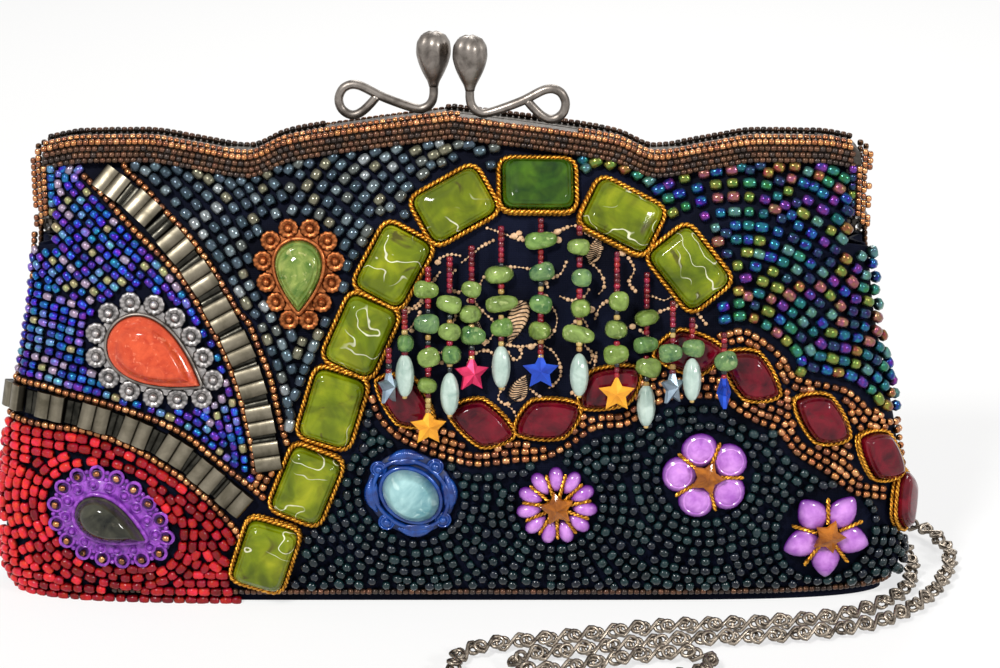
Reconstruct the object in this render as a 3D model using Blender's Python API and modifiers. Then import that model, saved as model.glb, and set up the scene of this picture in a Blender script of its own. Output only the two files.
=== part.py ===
"""Beaded evening bag on a two-bow metal frame. Metres, +Z up, +Y away from the viewer.

The origin is the centre of the base's underside. The front panel and its ornaments stand still,
and the back bow swings open about the two rivets.
"""

import math

import bmesh
import bpy
from mathutils import Matrix, Vector

# Clearance between neighbours
GAP = 0.0003

# Fabric body
BODY_HALF_WIDTH = 0.115
BODY_HEIGHT = 0.1155
BODY_HALF_DEPTH = 0.0225
SIDE_HALF_DEPTH = 0.0081
WAVE_RISE = 0.008
FABRIC = 0.0016
GUSSET_FABRIC = 0.0012
GUSSET_FOLD = 0.003
BOARD = 0.0024
LINING = 0.0005
LINING_SPACE = 0.001
CORNER_POWER = 6

# Shares of the body's sizes, each against a share of the height below the bows
WIDTH_SHARES = ((0, 0.965), (0.07, 1), (0.22, 0.995), (0.35, 0.98), (0.46, 0.958), (0.56, 0.934),
                (0.66, 0.915), (0.78, 0.902), (0.9, 0.894), (1, 0.89))
BULGE_SHARES = ((0, 0.82), (0.04, 0.91), (0.16, 1), (0.27, 0.99), (0.42, 0.91), (0.58, 0.78),
                (0.74, 0.61), (0.85, 0.455), (0.92, 0.285), (0.965, 0.11), (1, 0))
SIDE_SHARES = ((0, 1), (0.53, 0.88), (0.79, 0.56), (0.95, 0.17), (1, 0))
# Rise of the top edge against the distance from the middle
WAVE_SHARES = ((0, 1), (0.25, 0.575), (0.4, 0.24), (0.5, -0.25), (0.62, 0), (0.75, 0.25),
               (0.9, 0.225), (1, 0))

# Frame
FRAME_WIDTH_SHARE = 0.887
FRAME_HALF_WIDTH = FRAME_WIDTH_SHARE * BODY_HALF_WIDTH
BOW_THICKNESS = 0.0043
BOW_HEIGHT = 0.0055
BOW_SPACE = 0.0006
BOW_ROOF = 0.001
BOW_CORNER = 0.004
SLOT = 0.0023
LEG_WIDTH = 0.0031
LEG_LENGTH = 0.0165
GRIP = 0.003
OVERRUN = 0.001
NECK = 0.0016
BOW_OFFSET = (BOW_THICKNESS + BOW_SPACE) / 2
LEG_INNER = FRAME_HALF_WIDTH - LEG_WIDTH
LEG_END = BODY_HEIGHT - LEG_LENGTH
PANEL_SIDE_SPACE = 0.0005

# Hinge: two ears side by side on each side, and a rivet through both
EAR_RADIUS = 0.003
EAR_THICKNESS = 0.0008
EAR_SPACE = 0.0006
EAR_STEP = 0.0001
EAR_BORE = 0.00105
RIVET_RADIUS = 0.00075
RIVET_HEAD_RADIUS = 0.0018
RIVET_HEAD = 0.0008
HINGE_HEIGHT = LEG_END - EAR_RADIUS - 0.5 * EAR_SPACE - GAP
INNER_EAR = LEG_INNER + GAP
OUTER_EAR = INNER_EAR + EAR_THICKNESS + EAR_SPACE
HEAD_INNER = INNER_EAR - GAP
HEAD_OUTER = FRAME_HALF_WIDTH + GAP
NOTCH_HEIGHT = HINGE_HEIGHT - EAR_RADIUS - FABRIC
NOTCH_STEP = 0.0018

# Chain rings and the lugs on the rivets that hold them
LUG_THICKNESS = 0.0008
LUG_WIDTH = 0.003
LUG_BORE = 0.0011
LUG_REACH = 0.0086
LUG_WEB = 0.0016
RING_RADIUS = 0.0026
RING_WIRE = 0.0005

# Clasp: a wire arm with a bud-shaped knob on each bow
CLASP_WIRE = 0.00115
KNOB_RADIUS = 0.0044
KNOB_HEIGHT = 0.0135
KNOB_OFFSET = KNOB_RADIUS + GAP / 2
CLASP_LENGTH = 0.024
CLASP_RISE = 0.0057
# Places along the arm, as shares of its length and rise from the knob
ARM_SHARES = ((0, 1), (0, 0.5), (0.025, 0.18), (0.09, 0), (0.2, 0.03), (0.52, 0.5), (0.78, 0.9),
              (0.92, 0.85), (0.99, 0.55), (0.94, 0.22), (0.84, 0.06), (0.72, 0.2), (0.6, 0.42))
KNOB_SHARES = ((0.3, 0), (0.34, 0.08), (0.62, 0.26), (0.87, 0.45), (1, 0.66), (0.95, 0.82), (0.72, 0.94),
               (0.4, 1))

# The ornaments keep to the smaller of the face's two measures
LAYOUT = min(BODY_HALF_WIDTH, BODY_HEIGHT)


def of_layout(shares):
    return tuple(share * LAYOUT for share in shares)


# Stones and their settings: length, width and height
SEAT = 0.0005
GREEN_SHARES = (0.1548, 0.1113, 0.0383)
GREEN_SIZE = of_layout(GREEN_SHARES)
GREEN_CORNER_SHARE = 0.22
RED_SHARES = (0.1435, 0.0939, 0.033)
RED_SIZE = of_layout(RED_SHARES)
RED_CORNER_SHARE = 0.204
RED_SKEW_SHARE = 0.1
DOME_SHARES = ((0, 0), (0, 0.35), (0.06, 0.6), (0.2, 0.85), (0.45, 1))
CABOCHON_SHARES = ((0, 0), (0, 0.2), (0.1, 0.5), (0.3, 0.78), (0.6, 0.96), (0.85, 1))
SETTING_HEIGHT = 0.0024
SETTING_FLOOR = 0.001
BEZEL = 0.0009
TIP_POWER = 0.5
TIP_WIDEST_SHARE = 0.77
SETTING_TAPER_SHARE = 0.3
SETTING_LOBE_SHARE = 0.12
BAND_TILE_SHARES = (0.0557, 0.0539, 0.0226)
BAND_TILE = of_layout(BAND_TILE_SHARES)
BAND_STRIP = 0.0009
BAND_STRIP_SHARE = 0.7
FLOWER_HEIGHT = 0.0022
FLOWER_EYE_SHARE = 0.4
FLOWER_EYE_HEIGHT = 0.0042
PETAL_TOP_SHARE = 0.86
EYE_TOP_SHARE = 0.6

# Places on the face: share of the half width, share of the body height, and turn in degrees
GREEN_PLACE_SHARES = ((-0.413, 0.126, 72), (-0.322, 0.288, 68), (-0.27, 0.457, 73),
                      (-0.212, 0.614, 66), (-0.138, 0.762, 62), (0.007, 0.884, 29),
                      (0.206, 0.918, -2), (0.407, 0.856, -30), (0.567, 0.752, -51))
RED_PLACE_SHARES = ((-0.106, 0.473, -35), (0.067, 0.425, -18), (0.216, 0.433, 24),
                    (0.36, 0.501, 34), (0.552, 0.575, 6), (0.688, 0.525, -34),
                    (0.833, 0.426, -35), (0.952, 0.33, -40), (0.993, 0.213, -78))
UPPER_BAND_SHARES = ((-0.822, 0.914), (-0.742, 0.87), (-0.66, 0.799), (-0.597, 0.732), (-0.544, 0.655),
                     (-0.496, 0.585), (-0.459, 0.512), (-0.429, 0.43), (-0.41, 0.352))
LOWER_BAND_SHARES = ((-0.99, 0.455), (-0.906, 0.448), (-0.803, 0.431), (-0.708, 0.403),
                     (-0.616, 0.362), (-0.544, 0.309), (-0.48, 0.257))

# Cabochons: place, turn, stone's shares of the layout, pointed or not, setting's shares and number of lobes
CABOCHON_SHARES_BY_NAME = {
    "coral": ((-0.684, 0.565), -32, (0.226, 0.1374, 0.0452), True, (0.334, 0.24), 14),
    "green_drop": ((-0.362, 0.738), -90, (0.1565, 0.1026, 0.0365), True, (0.2487, 0.1948), 12),
    "black": ((-0.748, 0.2), -25, (0.1687, 0.0991, 0.04), True, (0.3, 0.2304), 16),
    "blue": ((-0.091, 0.258), -40, (0.1235, 0.0974, 0.04), False, (0.2157, 0.1983), 8),
}
# Flowers: place, turn, radius as a share of the layout, petals and how deep the gaps between them are
FLOWER_SHARES_BY_NAME = {
    "small_petal_flower": ((0.23, 0.242), 10, 0.0896, 11, 0.28),
    "round_petal_flower": ((0.564, 0.321), -3, 0.0974, 5, 0.42),
    "pointed_petal_flower": ((0.822, 0.168), 18, 0.0887, 5, 0.5),
}

# Fringe: one straight strand from under the arch, with chips and a pendant
SEED_RADIUS = 0.0007
CHIP_RADIUS = 0.0018
CHIP_LENGTH = 0.0036
DROP_RADIUS_SHARE = 0.0165
DROP_RADIUS = DROP_RADIUS_SHARE * LAYOUT
DROP_LENGTH = 0.0105
STAR_SHARE = 0.0374
STAR_RADIUS = STAR_SHARE * LAYOUT
STAR_THICKNESS_SHARE = 0.0243
STAR_THICKNESS = STAR_THICKNESS_SHARE * LAYOUT
STAR_WAIST_SHARE = 0.45
FRINGE_TOP = 0.0026
FRINGE_LEAN = 14
CHIP_SHARES = (0.16, 0.42, 0.68, 0.9)
# Place across, height of the top and of the pendant's middle, pendant and its turn in degrees
FRINGE_SHARES = (
    (-0.142, 0.604, 0.528, "star", 88), (-0.107, 0.679, 0.545, "drop", 0),
    (-0.052, 0.765, 0.436, "star", 10), (-0.004, 0.785, 0.504, "drop", 0),
    (0.046, 0.805, 0.542, "star", 25), (0.114, 0.845, 0.553, "drop", 0),
    (0.205, 0.86, 0.546, "star", 0), (0.293, 0.85, 0.545, "drop", 0),
    (0.375, 0.795, 0.505, "star", 0), (0.44, 0.745, 0.467, "drop", 0),
    (0.503, 0.7, 0.527, "star", 65), (0.55, 0.66, 0.536, "drop", 0),
    (0.618, 0.634, 0.515, "star", 90),
)

# Chain, from the right ring to the left one
CHAIN_RADIUS = 0.00275
CHAIN_STEP = 0.0135
CHAIN_FLOOR = 0.0028
CHAIN_DROP = (
    (0.1056, 0.0175, 0.078), (0.1055, 0.0195, 0.062), (0.105, 0.0208, 0.042),
    (0.104, 0.0235, 0.022), (0.105, 0.0288, 0.008),
)
CHAIN_FLOOR_ROUTE = (
    (0.1115, 0.0268), (0.118, 0.017), (0.1203, 0.004), (0.119, -0.0095), (0.1145, -0.021),
    (0.106, -0.03), (0.094, -0.0365), (0.076, -0.04), (0.05, -0.0425), (0.037, -0.046),
    (0.024, -0.0495), (0.012, -0.052), (0.004, -0.0565), (0.001, -0.064), (0.005, -0.0715),
    (0.015, -0.075), (0.03, -0.075), (0.046, -0.073), (0.057, -0.0695), (0.0625, -0.063),
    (0.058, -0.0575), (0.047, -0.0585), (0.036, -0.0625), (0.026, -0.0665), (0.0185, -0.066),
    (0.016, -0.0615), (0.021, -0.0578), (0.033, -0.0548), (0.048, -0.0513), (0.061, -0.049),
    (0.08, -0.047), (0.097, -0.043), (0.11, -0.036), (0.1205, -0.024), (0.1275, -0.01),
    (0.131, 0.004), (0.129, 0.0175), (0.121, 0.0285), (0.107, 0.037), (0.08, 0.04), (0.04, 0.0405),
    (0.0, 0.0405), (-0.045, 0.04), (-0.08, 0.037), (-0.097, 0.0325),
)

# Mesh densities
COLUMNS = 16
BOW_POINTS = 24
KNOB_STEPS = 12
STRAND_STEPS = 6
LOBE_STEPS = 4
LOWER_ROW_SHARES = (0, 0.03, 0.09, 0.18, 0.3, 0.44, 0.58, 0.71, 0.83, 0.92, 1)
UPPER_ROW_SHARES = (0, 0.25, 0.48, 0.66, 0.8, 0.91, 1)


def smooth(shares, at):
    """The value at a place on a curve through the shares that never overshoots them."""
    at = min(max(at, shares[0][0]), shares[-1][0])
    last = len(shares) - 1
    left = max(k for k in range(last) if shares[k][0] <= at)
    chords = [(b[1] - a[1]) / (b[0] - a[0]) for a, b in zip(shares, shares[1:])]

    def slope(k):
        if k in (0, last):
            return chords[min(k, last - 1)]
        before, after = chords[k - 1], chords[k]
        return 2 * before * after / (before + after) if before * after > 0 else 0

    span = shares[left + 1][0] - shares[left][0]
    t = (at - shares[left][0]) / span
    start, end = slope(left) * span, slope(left + 1) * span
    return ((2 * t ** 3 - 3 * t ** 2 + 1) * shares[left][1] + (t ** 3 - 2 * t ** 2 + t) * start
            + (3 * t ** 2 - 2 * t ** 3) * shares[left + 1][1] + (t ** 3 - t ** 2) * end)


def top_height(x):
    """Height of the bows' top edge."""
    return BODY_HEIGHT + WAVE_RISE * smooth(WAVE_SHARES, abs(x) / FRAME_HALF_WIDTH)


def neck_height(x):
    """Height at which the panels stand flat, just under the bows."""
    return top_height(x) - BOW_HEIGHT - NECK


def half_width(z):
    return BODY_HALF_WIDTH * smooth(WIDTH_SHARES, z / BODY_HEIGHT)


def side_depth(x, z):
    """Half the depth of the body at its side edge."""
    return BOW_OFFSET + (SIDE_HALF_DEPTH - BOW_OFFSET) * smooth(SIDE_SHARES, z / neck_height(x))


def face_depth(x, z):
    """Half the depth of the body, between the middles of its two panels."""
    side = side_depth(x, z)
    full = BOW_OFFSET + (BODY_HALF_DEPTH - BOW_OFFSET) * smooth(BULGE_SHARES, z / neck_height(x))
    across = min(abs(x) / half_width(z), 1)
    return side + (full - side) * math.sqrt(1 - across ** CORNER_POWER)


def face_point(across, z):
    """A point of the front face, where across runs from -1 to 1 and spaces the points round the corners."""
    x = math.sin(across * math.pi / 2) * half_width(z)
    return Vector((x, -face_depth(x, z), z))


def new_collection(name):
    collection = bpy.data.collections.new(name)
    bpy.context.scene.collection.children.link(collection)
    return collection


def clear_scene():
    for thing in list(bpy.data.objects):
        bpy.data.objects.remove(thing)


def new_material(name, colour, roughness, metallic=0, transmission=0):
    material = bpy.data.materials.new(name)
    material.use_nodes = True
    shader = material.node_tree.nodes["Principled BSDF"]
    shader.inputs["Base Color"].default_value = (*colour, 1)
    shader.inputs["Roughness"].default_value = roughness
    shader.inputs["Metallic"].default_value = metallic
    shader.inputs["Transmission Weight"].default_value = transmission
    material.diffuse_color = (*colour, 1)
    return material


def new_object(name, mesh, material, matrix=None):
    """A part of the bag at its place."""
    thing = bpy.data.objects.new(name, mesh)
    if material:
        mesh.materials.append(material)
    if matrix:
        thing.matrix_world = matrix
    PARTS.objects.link(thing)
    return thing


def new_helper(name, mesh, matrix=None):
    """A cutter, or a piece that a Boolean joins to a part."""
    thing = bpy.data.objects.new(name, mesh)
    if matrix:
        thing.matrix_world = matrix
    thing.hide_render = True
    thing.display_type = "WIRE"
    HELPERS.objects.link(thing)
    return thing


def mesh_from(bm, name):
    bmesh.ops.recalc_face_normals(bm, faces=bm.faces)
    mesh = bpy.data.meshes.new(name)
    bm.to_mesh(mesh)
    bm.free()
    mesh.shade_smooth()
    mesh.set_sharp_from_angle(angle=math.radians(35))
    return mesh


def sheet(name, columns, rows, place):
    """An open sheet, placed point by point from its column and row numbers."""
    bm = bmesh.new()
    bmesh.ops.create_grid(bm, x_segments=columns, y_segments=rows, size=1)
    for vertex in bm.verts:
        column = round((vertex.co.x + 1) / 2 * columns)
        row = round((vertex.co.y + 1) / 2 * rows)
        vertex.co = place(column, row)
    return mesh_from(bm, name)


def thicken(thing, thickness):
    wall = thing.modifiers.new("wall", "SOLIDIFY")
    wall.thickness = thickness
    wall.offset = 0
    wall.use_even_offset = True


def combine(thing, helper, operation):
    boolean = thing.modifiers.new(helper.name, "BOOLEAN")
    boolean.operation = operation
    boolean.object = helper


def lofted(name, rings):
    """A closed solid through rings of points, from its underside to its top."""
    bm = bmesh.new()
    loops = [[bm.verts.new(point) for point in ring] for ring in rings]
    for lower, upper in zip(loops, loops[1:]):
        for k in range(len(lower)):
            bm.faces.new((lower[k - 1], lower[k], upper[k], upper[k - 1]))
    bm.faces.new(loops[0])
    bm.faces.new(loops[-1])
    return mesh_from(bm, name)


def disc(name, radius, depth, matrix, segments=16):
    """A cylinder along the matrix's Z, centred at its place."""
    bm = bmesh.new()
    bmesh.ops.create_cone(bm, cap_ends=True, segments=segments, radius1=radius, radius2=radius,
                          depth=depth, matrix=matrix)
    return mesh_from(bm, name)


def block(name, low, high):
    """A box between two corners."""
    size = Vector(high) - Vector(low)
    middle = (Vector(high) + Vector(low)) / 2
    bm = bmesh.new()
    bmesh.ops.create_cube(bm, size=1, matrix=Matrix.Translation(middle) @ Matrix.Diagonal((*size, 1)))
    return mesh_from(bm, name)


def turned(name, profile):
    """An open profile of radius and height, from the top down, for a Screw about Z."""
    bm = bmesh.new()
    points = [bm.verts.new((radius, 0, height)) for radius, height in profile]
    for upper, lower in zip(points, points[1:]):
        bm.edges.new((upper, lower))
    mesh = bpy.data.meshes.new(name)
    bm.to_mesh(mesh)
    bm.free()
    return mesh


def screw(thing, steps):
    spin = thing.modifiers.new("turn", "SCREW")
    spin.steps = steps
    spin.render_steps = steps
    spin.use_merge_vertices = True
    spin.merge_threshold = 0.00001


def solid_curve(curve, name, matrix=None):
    """A curve's evaluated shape as a welded mesh."""
    guide = bpy.data.objects.new(name, curve)
    HELPERS.objects.link(guide)
    bpy.context.view_layer.update()
    graph = bpy.context.evaluated_depsgraph_get()
    mesh = bpy.data.meshes.new_from_object(guide.evaluated_get(graph))
    bpy.data.objects.remove(guide)
    bm = bmesh.new()
    bm.from_mesh(mesh)
    bmesh.ops.remove_doubles(bm, verts=bm.verts, dist=0.000001)
    if matrix:
        bmesh.ops.transform(bm, matrix=matrix, verts=bm.verts)
    return mesh_from(bm, name)


def plate(name, outline, thickness, matrix):
    """A flat plate of an outline in its own XY, centred on it."""
    curve = bpy.data.curves.new(name, "CURVE")
    curve.dimensions = "2D"
    curve.fill_mode = "BOTH"
    curve.extrude = thickness / 2
    spline = curve.splines.new("POLY")
    spline.points.add(len(outline) - 1)
    for point, (x, y) in zip(spline.points, outline):
        point.co = (x, y, 0, 1)
    spline.use_cyclic_u = True
    return solid_curve(curve, name, matrix)


def wire(name, points, radius, resolution=2):
    """A round wire through points, with filled ends."""
    curve = bpy.data.curves.new(name, "CURVE")
    curve.dimensions = "3D"
    curve.bevel_depth = radius
    curve.bevel_resolution = resolution
    curve.use_fill_caps = True
    spline = curve.splines.new("POLY")
    spline.points.add(len(points) - 1)
    for point, place in zip(spline.points, points):
        point.co = (*place, 1)
    return curve


def through(points, step):
    """Points along a smooth curve through the given ones, at most a step apart."""
    found = [Vector(points[0])]
    for k in range(len(points) - 1):
        a, b = Vector(points[k]), Vector(points[k + 1])
        before = Vector(points[k - 1]) if k else a * 2 - b
        after = Vector(points[k + 2]) if k + 2 < len(points) else b * 2 - a
        pieces = max(1, round((b - a).length / step))
        for piece in range(1, pieces + 1):
            t = piece / pieces
            found.append((a * 2 + (b - before) * t + (before * 2 - a * 5 + b * 4 - after) * t ** 2
                          + (a * 3 - before - b * 3 + after) * t ** 3) / 2)
    return found


def along_z(place):
    """A matrix whose Z runs along X, for the hinge's round parts."""
    return Matrix.Translation(place) @ Matrix.Rotation(math.pi / 2, 4, "Y")


def panel_place(side, rows):
    """Places of a panel's points, where side is -1 for the front and 1 for the back."""
    def place(column, row):
        across = 2 * column / COLUMNS - 1
        lean, x, z = rows[row](across)
        point = face_point(across, z) if lean else Vector((x, -face_depth(x, z), z))
        return Vector((point.x, -side * point.y, point.z))
    return place


def lower_rows(start, end):
    """Rows of a panel that spans the whole width of the body."""
    return [lambda across, share=share: (True, 0, start + share * (end - start))
            for share in LOWER_ROW_SHARES]


def upper_rows(start):
    """Rows of a panel between the bow's legs, up into its channel."""
    reach = LEG_INNER - PANEL_SIDE_SPACE

    def row(share):
        def place(across):
            x = math.sin(across * math.pi / 2) * reach
            return False, x, start + share * (neck_height(x) - start)
        return place

    def top(across):
        x = math.sin(across * math.pi / 2) * reach
        return False, x, neck_height(x) + NECK + GRIP

    return [row(share) for share in UPPER_ROW_SHARES] + [top]


def make_panels():
    bottom = BOARD + GAP
    front = lower_rows(bottom, NOTCH_HEIGHT) + upper_rows(NOTCH_HEIGHT + NOTCH_STEP)
    back = lower_rows(bottom, NOTCH_HEIGHT)
    back_top = upper_rows(NOTCH_HEIGHT + GAP)
    for name, side, rows in (("front_panel", -1, front), ("back_panel", 1, back),
                             ("back_panel_top", 1, back_top)):
        mesh = sheet(name, COLUMNS, len(rows) - 1, panel_place(side, rows))
        thicken(new_object(name, mesh, FABRIC_NAVY), FABRIC)


def make_gussets():
    rows = len(LOWER_ROW_SHARES) - 1
    columns = 4
    bottom = BOARD + 2 * GAP
    for name, side in (("left_gusset", -1), ("right_gusset", 1)):
        def place(column, row):
            z = bottom + LOWER_ROW_SHARES[row] * (NOTCH_HEIGHT - bottom)
            width = half_width(z)
            reach = side_depth(width, z) - FABRIC / 2 - GAP
            across = 2 * column / columns - 1
            return Vector((side * (width - GUSSET_FOLD * (1 - across ** 2)), across * reach, z))
        thicken(new_object(name, sheet(name, columns, rows, place), FABRIC_NAVY), GUSSET_FABRIC)


def make_base_board():
    half = [face_point(2 * k / COLUMNS - 1, 0) for k in range(COLUMNS + 1)]
    outline = [(point.x, point.y - FABRIC / 2) for point in half]
    outline += [(point.x, FABRIC / 2 - point.y) for point in reversed(half)]
    mesh = plate("base_board", outline, BOARD, Matrix.Translation((0, 0, BOARD / 2)))
    new_object("base_board", mesh, FABRIC_NAVY)


def make_lining():
    """A thin open pocket inside the body, its mouth below the hinge."""
    inset = GUSSET_FOLD + GUSSET_FABRIC + LINING_SPACE
    space = FABRIC / 2 + LINING_SPACE
    floor = BOARD + GAP + LINING
    around = 2 * (COLUMNS + 1)

    def ring(z):
        reach = (half_width(z) - inset) / half_width(z)
        front = []
        for k in range(COLUMNS + 1):
            across = math.sin((2 * k / COLUMNS - 1) * math.pi / 2)
            x = across * half_width(z)
            front.append(Vector((x * reach, space - face_depth(x * reach, z), z)))
        return front + [Vector((p.x, -p.y, p.z)) for p in reversed(front)]

    heights = [floor + share * (NOTCH_HEIGHT - floor) for share in LOWER_ROW_SHARES[::2]]
    bm = bmesh.new()
    loops = [[bm.verts.new(point) for point in ring(z)] for z in heights]
    for lower, upper in zip(loops, loops[1:]):
        for k in range(around):
            bm.faces.new((lower[k - 1], lower[k], upper[k], upper[k - 1]))
    bm.faces.new(loops[0])
    thicken(new_object("lining", mesh_from(bm, "lining"), FABRIC_LINING), LINING)


def bow_outline(lower, reach, leg_end):
    """Outline of a bow in X and Z: the wavy top, round corners and two straight legs."""
    def wave(limit, drop):
        places = [limit * (2 * k / BOW_POINTS - 1) for k in range(BOW_POINTS + 1)]
        return [(x, top_height(x) - drop) for x in places]

    shoulder = reach - BOW_CORNER
    corner = top_height(shoulder) - BOW_CORNER
    arc = [(shoulder + BOW_CORNER * math.sin(turn), corner + BOW_CORNER * math.cos(turn))
           for turn in (math.radians(30), math.radians(60), math.radians(90))]
    outer = [(-x, z) for x, z in reversed(arc)] + wave(shoulder, 0) + arc
    inner = wave(LEG_INNER, lower)
    return [(-reach, leg_end)] + outer + [(reach, leg_end), (LEG_INNER, leg_end)] \
        + inner[::-1] + [(-LEG_INNER, leg_end)]


def make_bow(name, side):
    """A channel bow with an ear on each leg. Side is -1 at the front and 1 at the back."""
    upright = Matrix.Translation((0, side * BOW_OFFSET, 0)) @ Matrix.Rotation(math.pi / 2, 4, "X")
    outline = bow_outline(BOW_HEIGHT, FRAME_HALF_WIDTH, LEG_END)
    bow = new_object(name, plate(name, outline, BOW_THICKNESS, upright), METAL)
    reach = LEG_INNER + PANEL_SIDE_SPACE
    places = [reach * (2 * k / BOW_POINTS - 1) for k in range(BOW_POINTS + 1)]
    slot = [(x, top_height(x) - BOW_ROOF) for x in places]
    slot += [(x, top_height(x) - BOW_HEIGHT - OVERRUN) for x in reversed(places)]
    combine(bow, new_helper(f"{name}_slot", plate(f"{name}_slot", slot, SLOT, upright)), "DIFFERENCE")
    inner = INNER_EAR if side < 0 else OUTER_EAR
    for hand in (-1, 1):
        middle = hand * (inner + EAR_THICKNESS / 2)
        ear_name = f"{name}_ear_{'left' if hand < 0 else 'right'}"
        centre = Vector((middle, 0, HINGE_HEIGHT))
        ear = new_helper(ear_name, disc(ear_name, EAR_RADIUS, EAR_THICKNESS, along_z(centre)))
        near, far = sorted((side * BOW_SPACE, side * (EAR_RADIUS - OVERRUN / 2)))
        half = EAR_THICKNESS / 2 - EAR_STEP
        low = (middle - half, near, HINGE_HEIGHT)
        high = (middle + half, far, LEG_END + OVERRUN)
        neck = new_helper(f"{ear_name}_neck", block(f"{ear_name}_neck", low, high))
        bore_name = f"{ear_name}_bore"
        bore = new_helper(bore_name, disc(bore_name, EAR_BORE, EAR_THICKNESS * 2, along_z(centre), 12))
        combine(bow, ear, "UNION")
        combine(bow, neck, "UNION")
        combine(bow, bore, "DIFFERENCE")
    return bow


def make_rivets():
    """Each rivet joins two ears, and its outer head carries the lug that a chain ring hangs in."""
    for name, hand in (("left_hinge_rivet", -1), ("right_hinge_rivet", 1)):
        def at(x):
            return Vector((hand * x, 0, HINGE_HEIGHT))
        inner_end = HEAD_INNER - RIVET_HEAD
        outer_end = HEAD_OUTER + RIVET_HEAD
        shank = disc(name, RIVET_RADIUS, outer_end - inner_end - RIVET_HEAD,
                     along_z(at((inner_end + outer_end) / 2)), 12)
        rivet = new_object(name, shank, METAL)
        for label, middle in (("inner_head", inner_end + RIVET_HEAD / 2),
                              ("outer_head", outer_end - RIVET_HEAD / 2)):
            part_name = f"{name}_{label}"
            head = disc(part_name, RIVET_HEAD_RADIUS, RIVET_HEAD, along_z(at(middle)), 12)
            combine(rivet, new_helper(part_name, head), "UNION")
        near = HEAD_OUTER + RIVET_HEAD / 4
        low_x, high_x = sorted((hand * near, hand * (near + LUG_WIDTH)))
        low = (low_x, 0, HINGE_HEIGHT - LUG_THICKNESS / 2)
        high = (high_x, LUG_REACH, HINGE_HEIGHT + LUG_THICKNESS / 2)
        lug = new_helper(f"{name}_lug", block(f"{name}_lug", low, high))
        combine(rivet, lug, "UNION")
        eye = Matrix.Translation((hand * (near + LUG_WIDTH / 2), LUG_REACH - LUG_WEB - LUG_BORE,
                                  HINGE_HEIGHT))
        bore = disc(f"{name}_eye", LUG_BORE, LUG_THICKNESS * 3, eye, 12)
        combine(rivet, new_helper(f"{name}_eye", bore), "DIFFERENCE")


def ring_centre(hand):
    """The ring hangs over the web between the lug's eye and its end."""
    x = HEAD_OUTER + RIVET_HEAD / 4 + LUG_WIDTH / 2
    rise = LUG_THICKNESS / 2 + RING_WIRE + GAP
    return Vector((hand * x, LUG_REACH - LUG_WEB / 2, HINGE_HEIGHT + rise - RING_RADIUS))


def make_chain_rings():
    for name, hand in (("left_chain_ring", -1), ("right_chain_ring", 1)):
        steps = 20
        centre = ring_centre(hand)
        turns = [2 * math.pi * k / steps for k in range(steps)]
        points = [centre + RING_RADIUS * Vector((0, math.sin(turn), math.cos(turn))) for turn in turns]
        curve = wire(name, points, RING_WIRE, 1)
        curve.splines[0].use_cyclic_u = True
        curve.use_fill_caps = False
        new_object(name, solid_curve(curve, name), METAL)


def make_chain():
    def end(hand):
        slant = Vector((0, 1, -1)).normalized()
        start = ring_centre(hand) + slant * (RING_RADIUS + RING_WIRE + GAP)
        return [start, start + slant * CHAIN_RADIUS * 2]

    drop = [Vector(point) for point in CHAIN_DROP]
    floor = [Vector((x, y, CHAIN_FLOOR)) for x, y in CHAIN_FLOOR_ROUTE]
    left = [Vector((-point.x, point.y, point.z)) for point in reversed(drop)]
    route = end(1)[1:] + drop + floor + left + end(-1)[1:]
    points = [end(1)[0]] + through(route, CHAIN_STEP) + [end(-1)[0]]
    curve = wire("chain_strap", points, CHAIN_RADIUS)
    chain = bpy.data.objects.new("chain_strap", curve)
    curve.materials.append(METAL)
    PARTS.objects.link(chain)


def make_clasp(name, side, hand):
    """A wire arm that lies along the bow's top and turns up into a knob."""
    base = top_height(0) + CLASP_WIRE + GAP
    arm = []
    for along, rise in ARM_SHARES:
        x = KNOB_OFFSET + along * CLASP_LENGTH
        fall = base - top_height(x) - CLASP_WIRE - GAP
        z = base - fall * (1 - rise) + rise * CLASP_RISE
        arm.append(Vector((hand * x, side * BOW_OFFSET, z)))
    curve = wire(name, through(arm, CLASP_WIRE * 2), CLASP_WIRE)
    clasp = new_object(name, solid_curve(curve, name), METAL)
    foot = base + CLASP_RISE - CLASP_WIRE
    profile = [(0, KNOB_HEIGHT)]
    profile += [(KNOB_RADIUS * r, KNOB_HEIGHT * h) for r, h in reversed(KNOB_SHARES)] + [(0, 0)]
    knob = new_helper(f"{name}_knob", turned(f"{name}_knob", profile),
                      Matrix.Translation((hand * KNOB_OFFSET, side * BOW_OFFSET, foot)))
    screw(knob, KNOB_STEPS)
    combine(clasp, knob, "UNION")


def face_matrix(across_share, height_share, turn):
    """A place on the front face: X along the turn in the face, Z straight out of it."""
    z = height_share * BODY_HEIGHT
    across = math.asin(across_share) * 2 / math.pi
    small = FABRIC / BODY_HALF_WIDTH
    right = face_point(across + small, z) - face_point(across - small, z)
    up = face_point(across, z + FABRIC) - face_point(across, z - FABRIC)
    out = right.cross(up).normalized()
    right.normalize()
    up = out.cross(right)
    frame = Matrix((right, up, out)).transposed().to_4x4()
    return Matrix.Translation(face_point(across, z)) @ frame @ Matrix.Rotation(math.radians(turn), 4, "Z")


def seat(matrix, length, width):
    """The matrix raised until a flat back of that size clears the face under all of it."""
    steps = 6
    lift = 0
    for i in range(steps + 1):
        for j in range(steps + 1):
            local = Vector(((i / steps - 1 / 2) * length, (j / steps - 1 / 2) * width, 0))
            point = matrix @ local
            limit = half_width(point.z)
            x = min(max(point.x, -limit), limit)
            face = Vector((x, -face_depth(x, point.z), point.z))
            lift = max(lift, (matrix.inverted() @ face).z)
    return matrix @ Matrix.Translation((0, 0, lift + FABRIC / 2 + SEAT))


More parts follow.
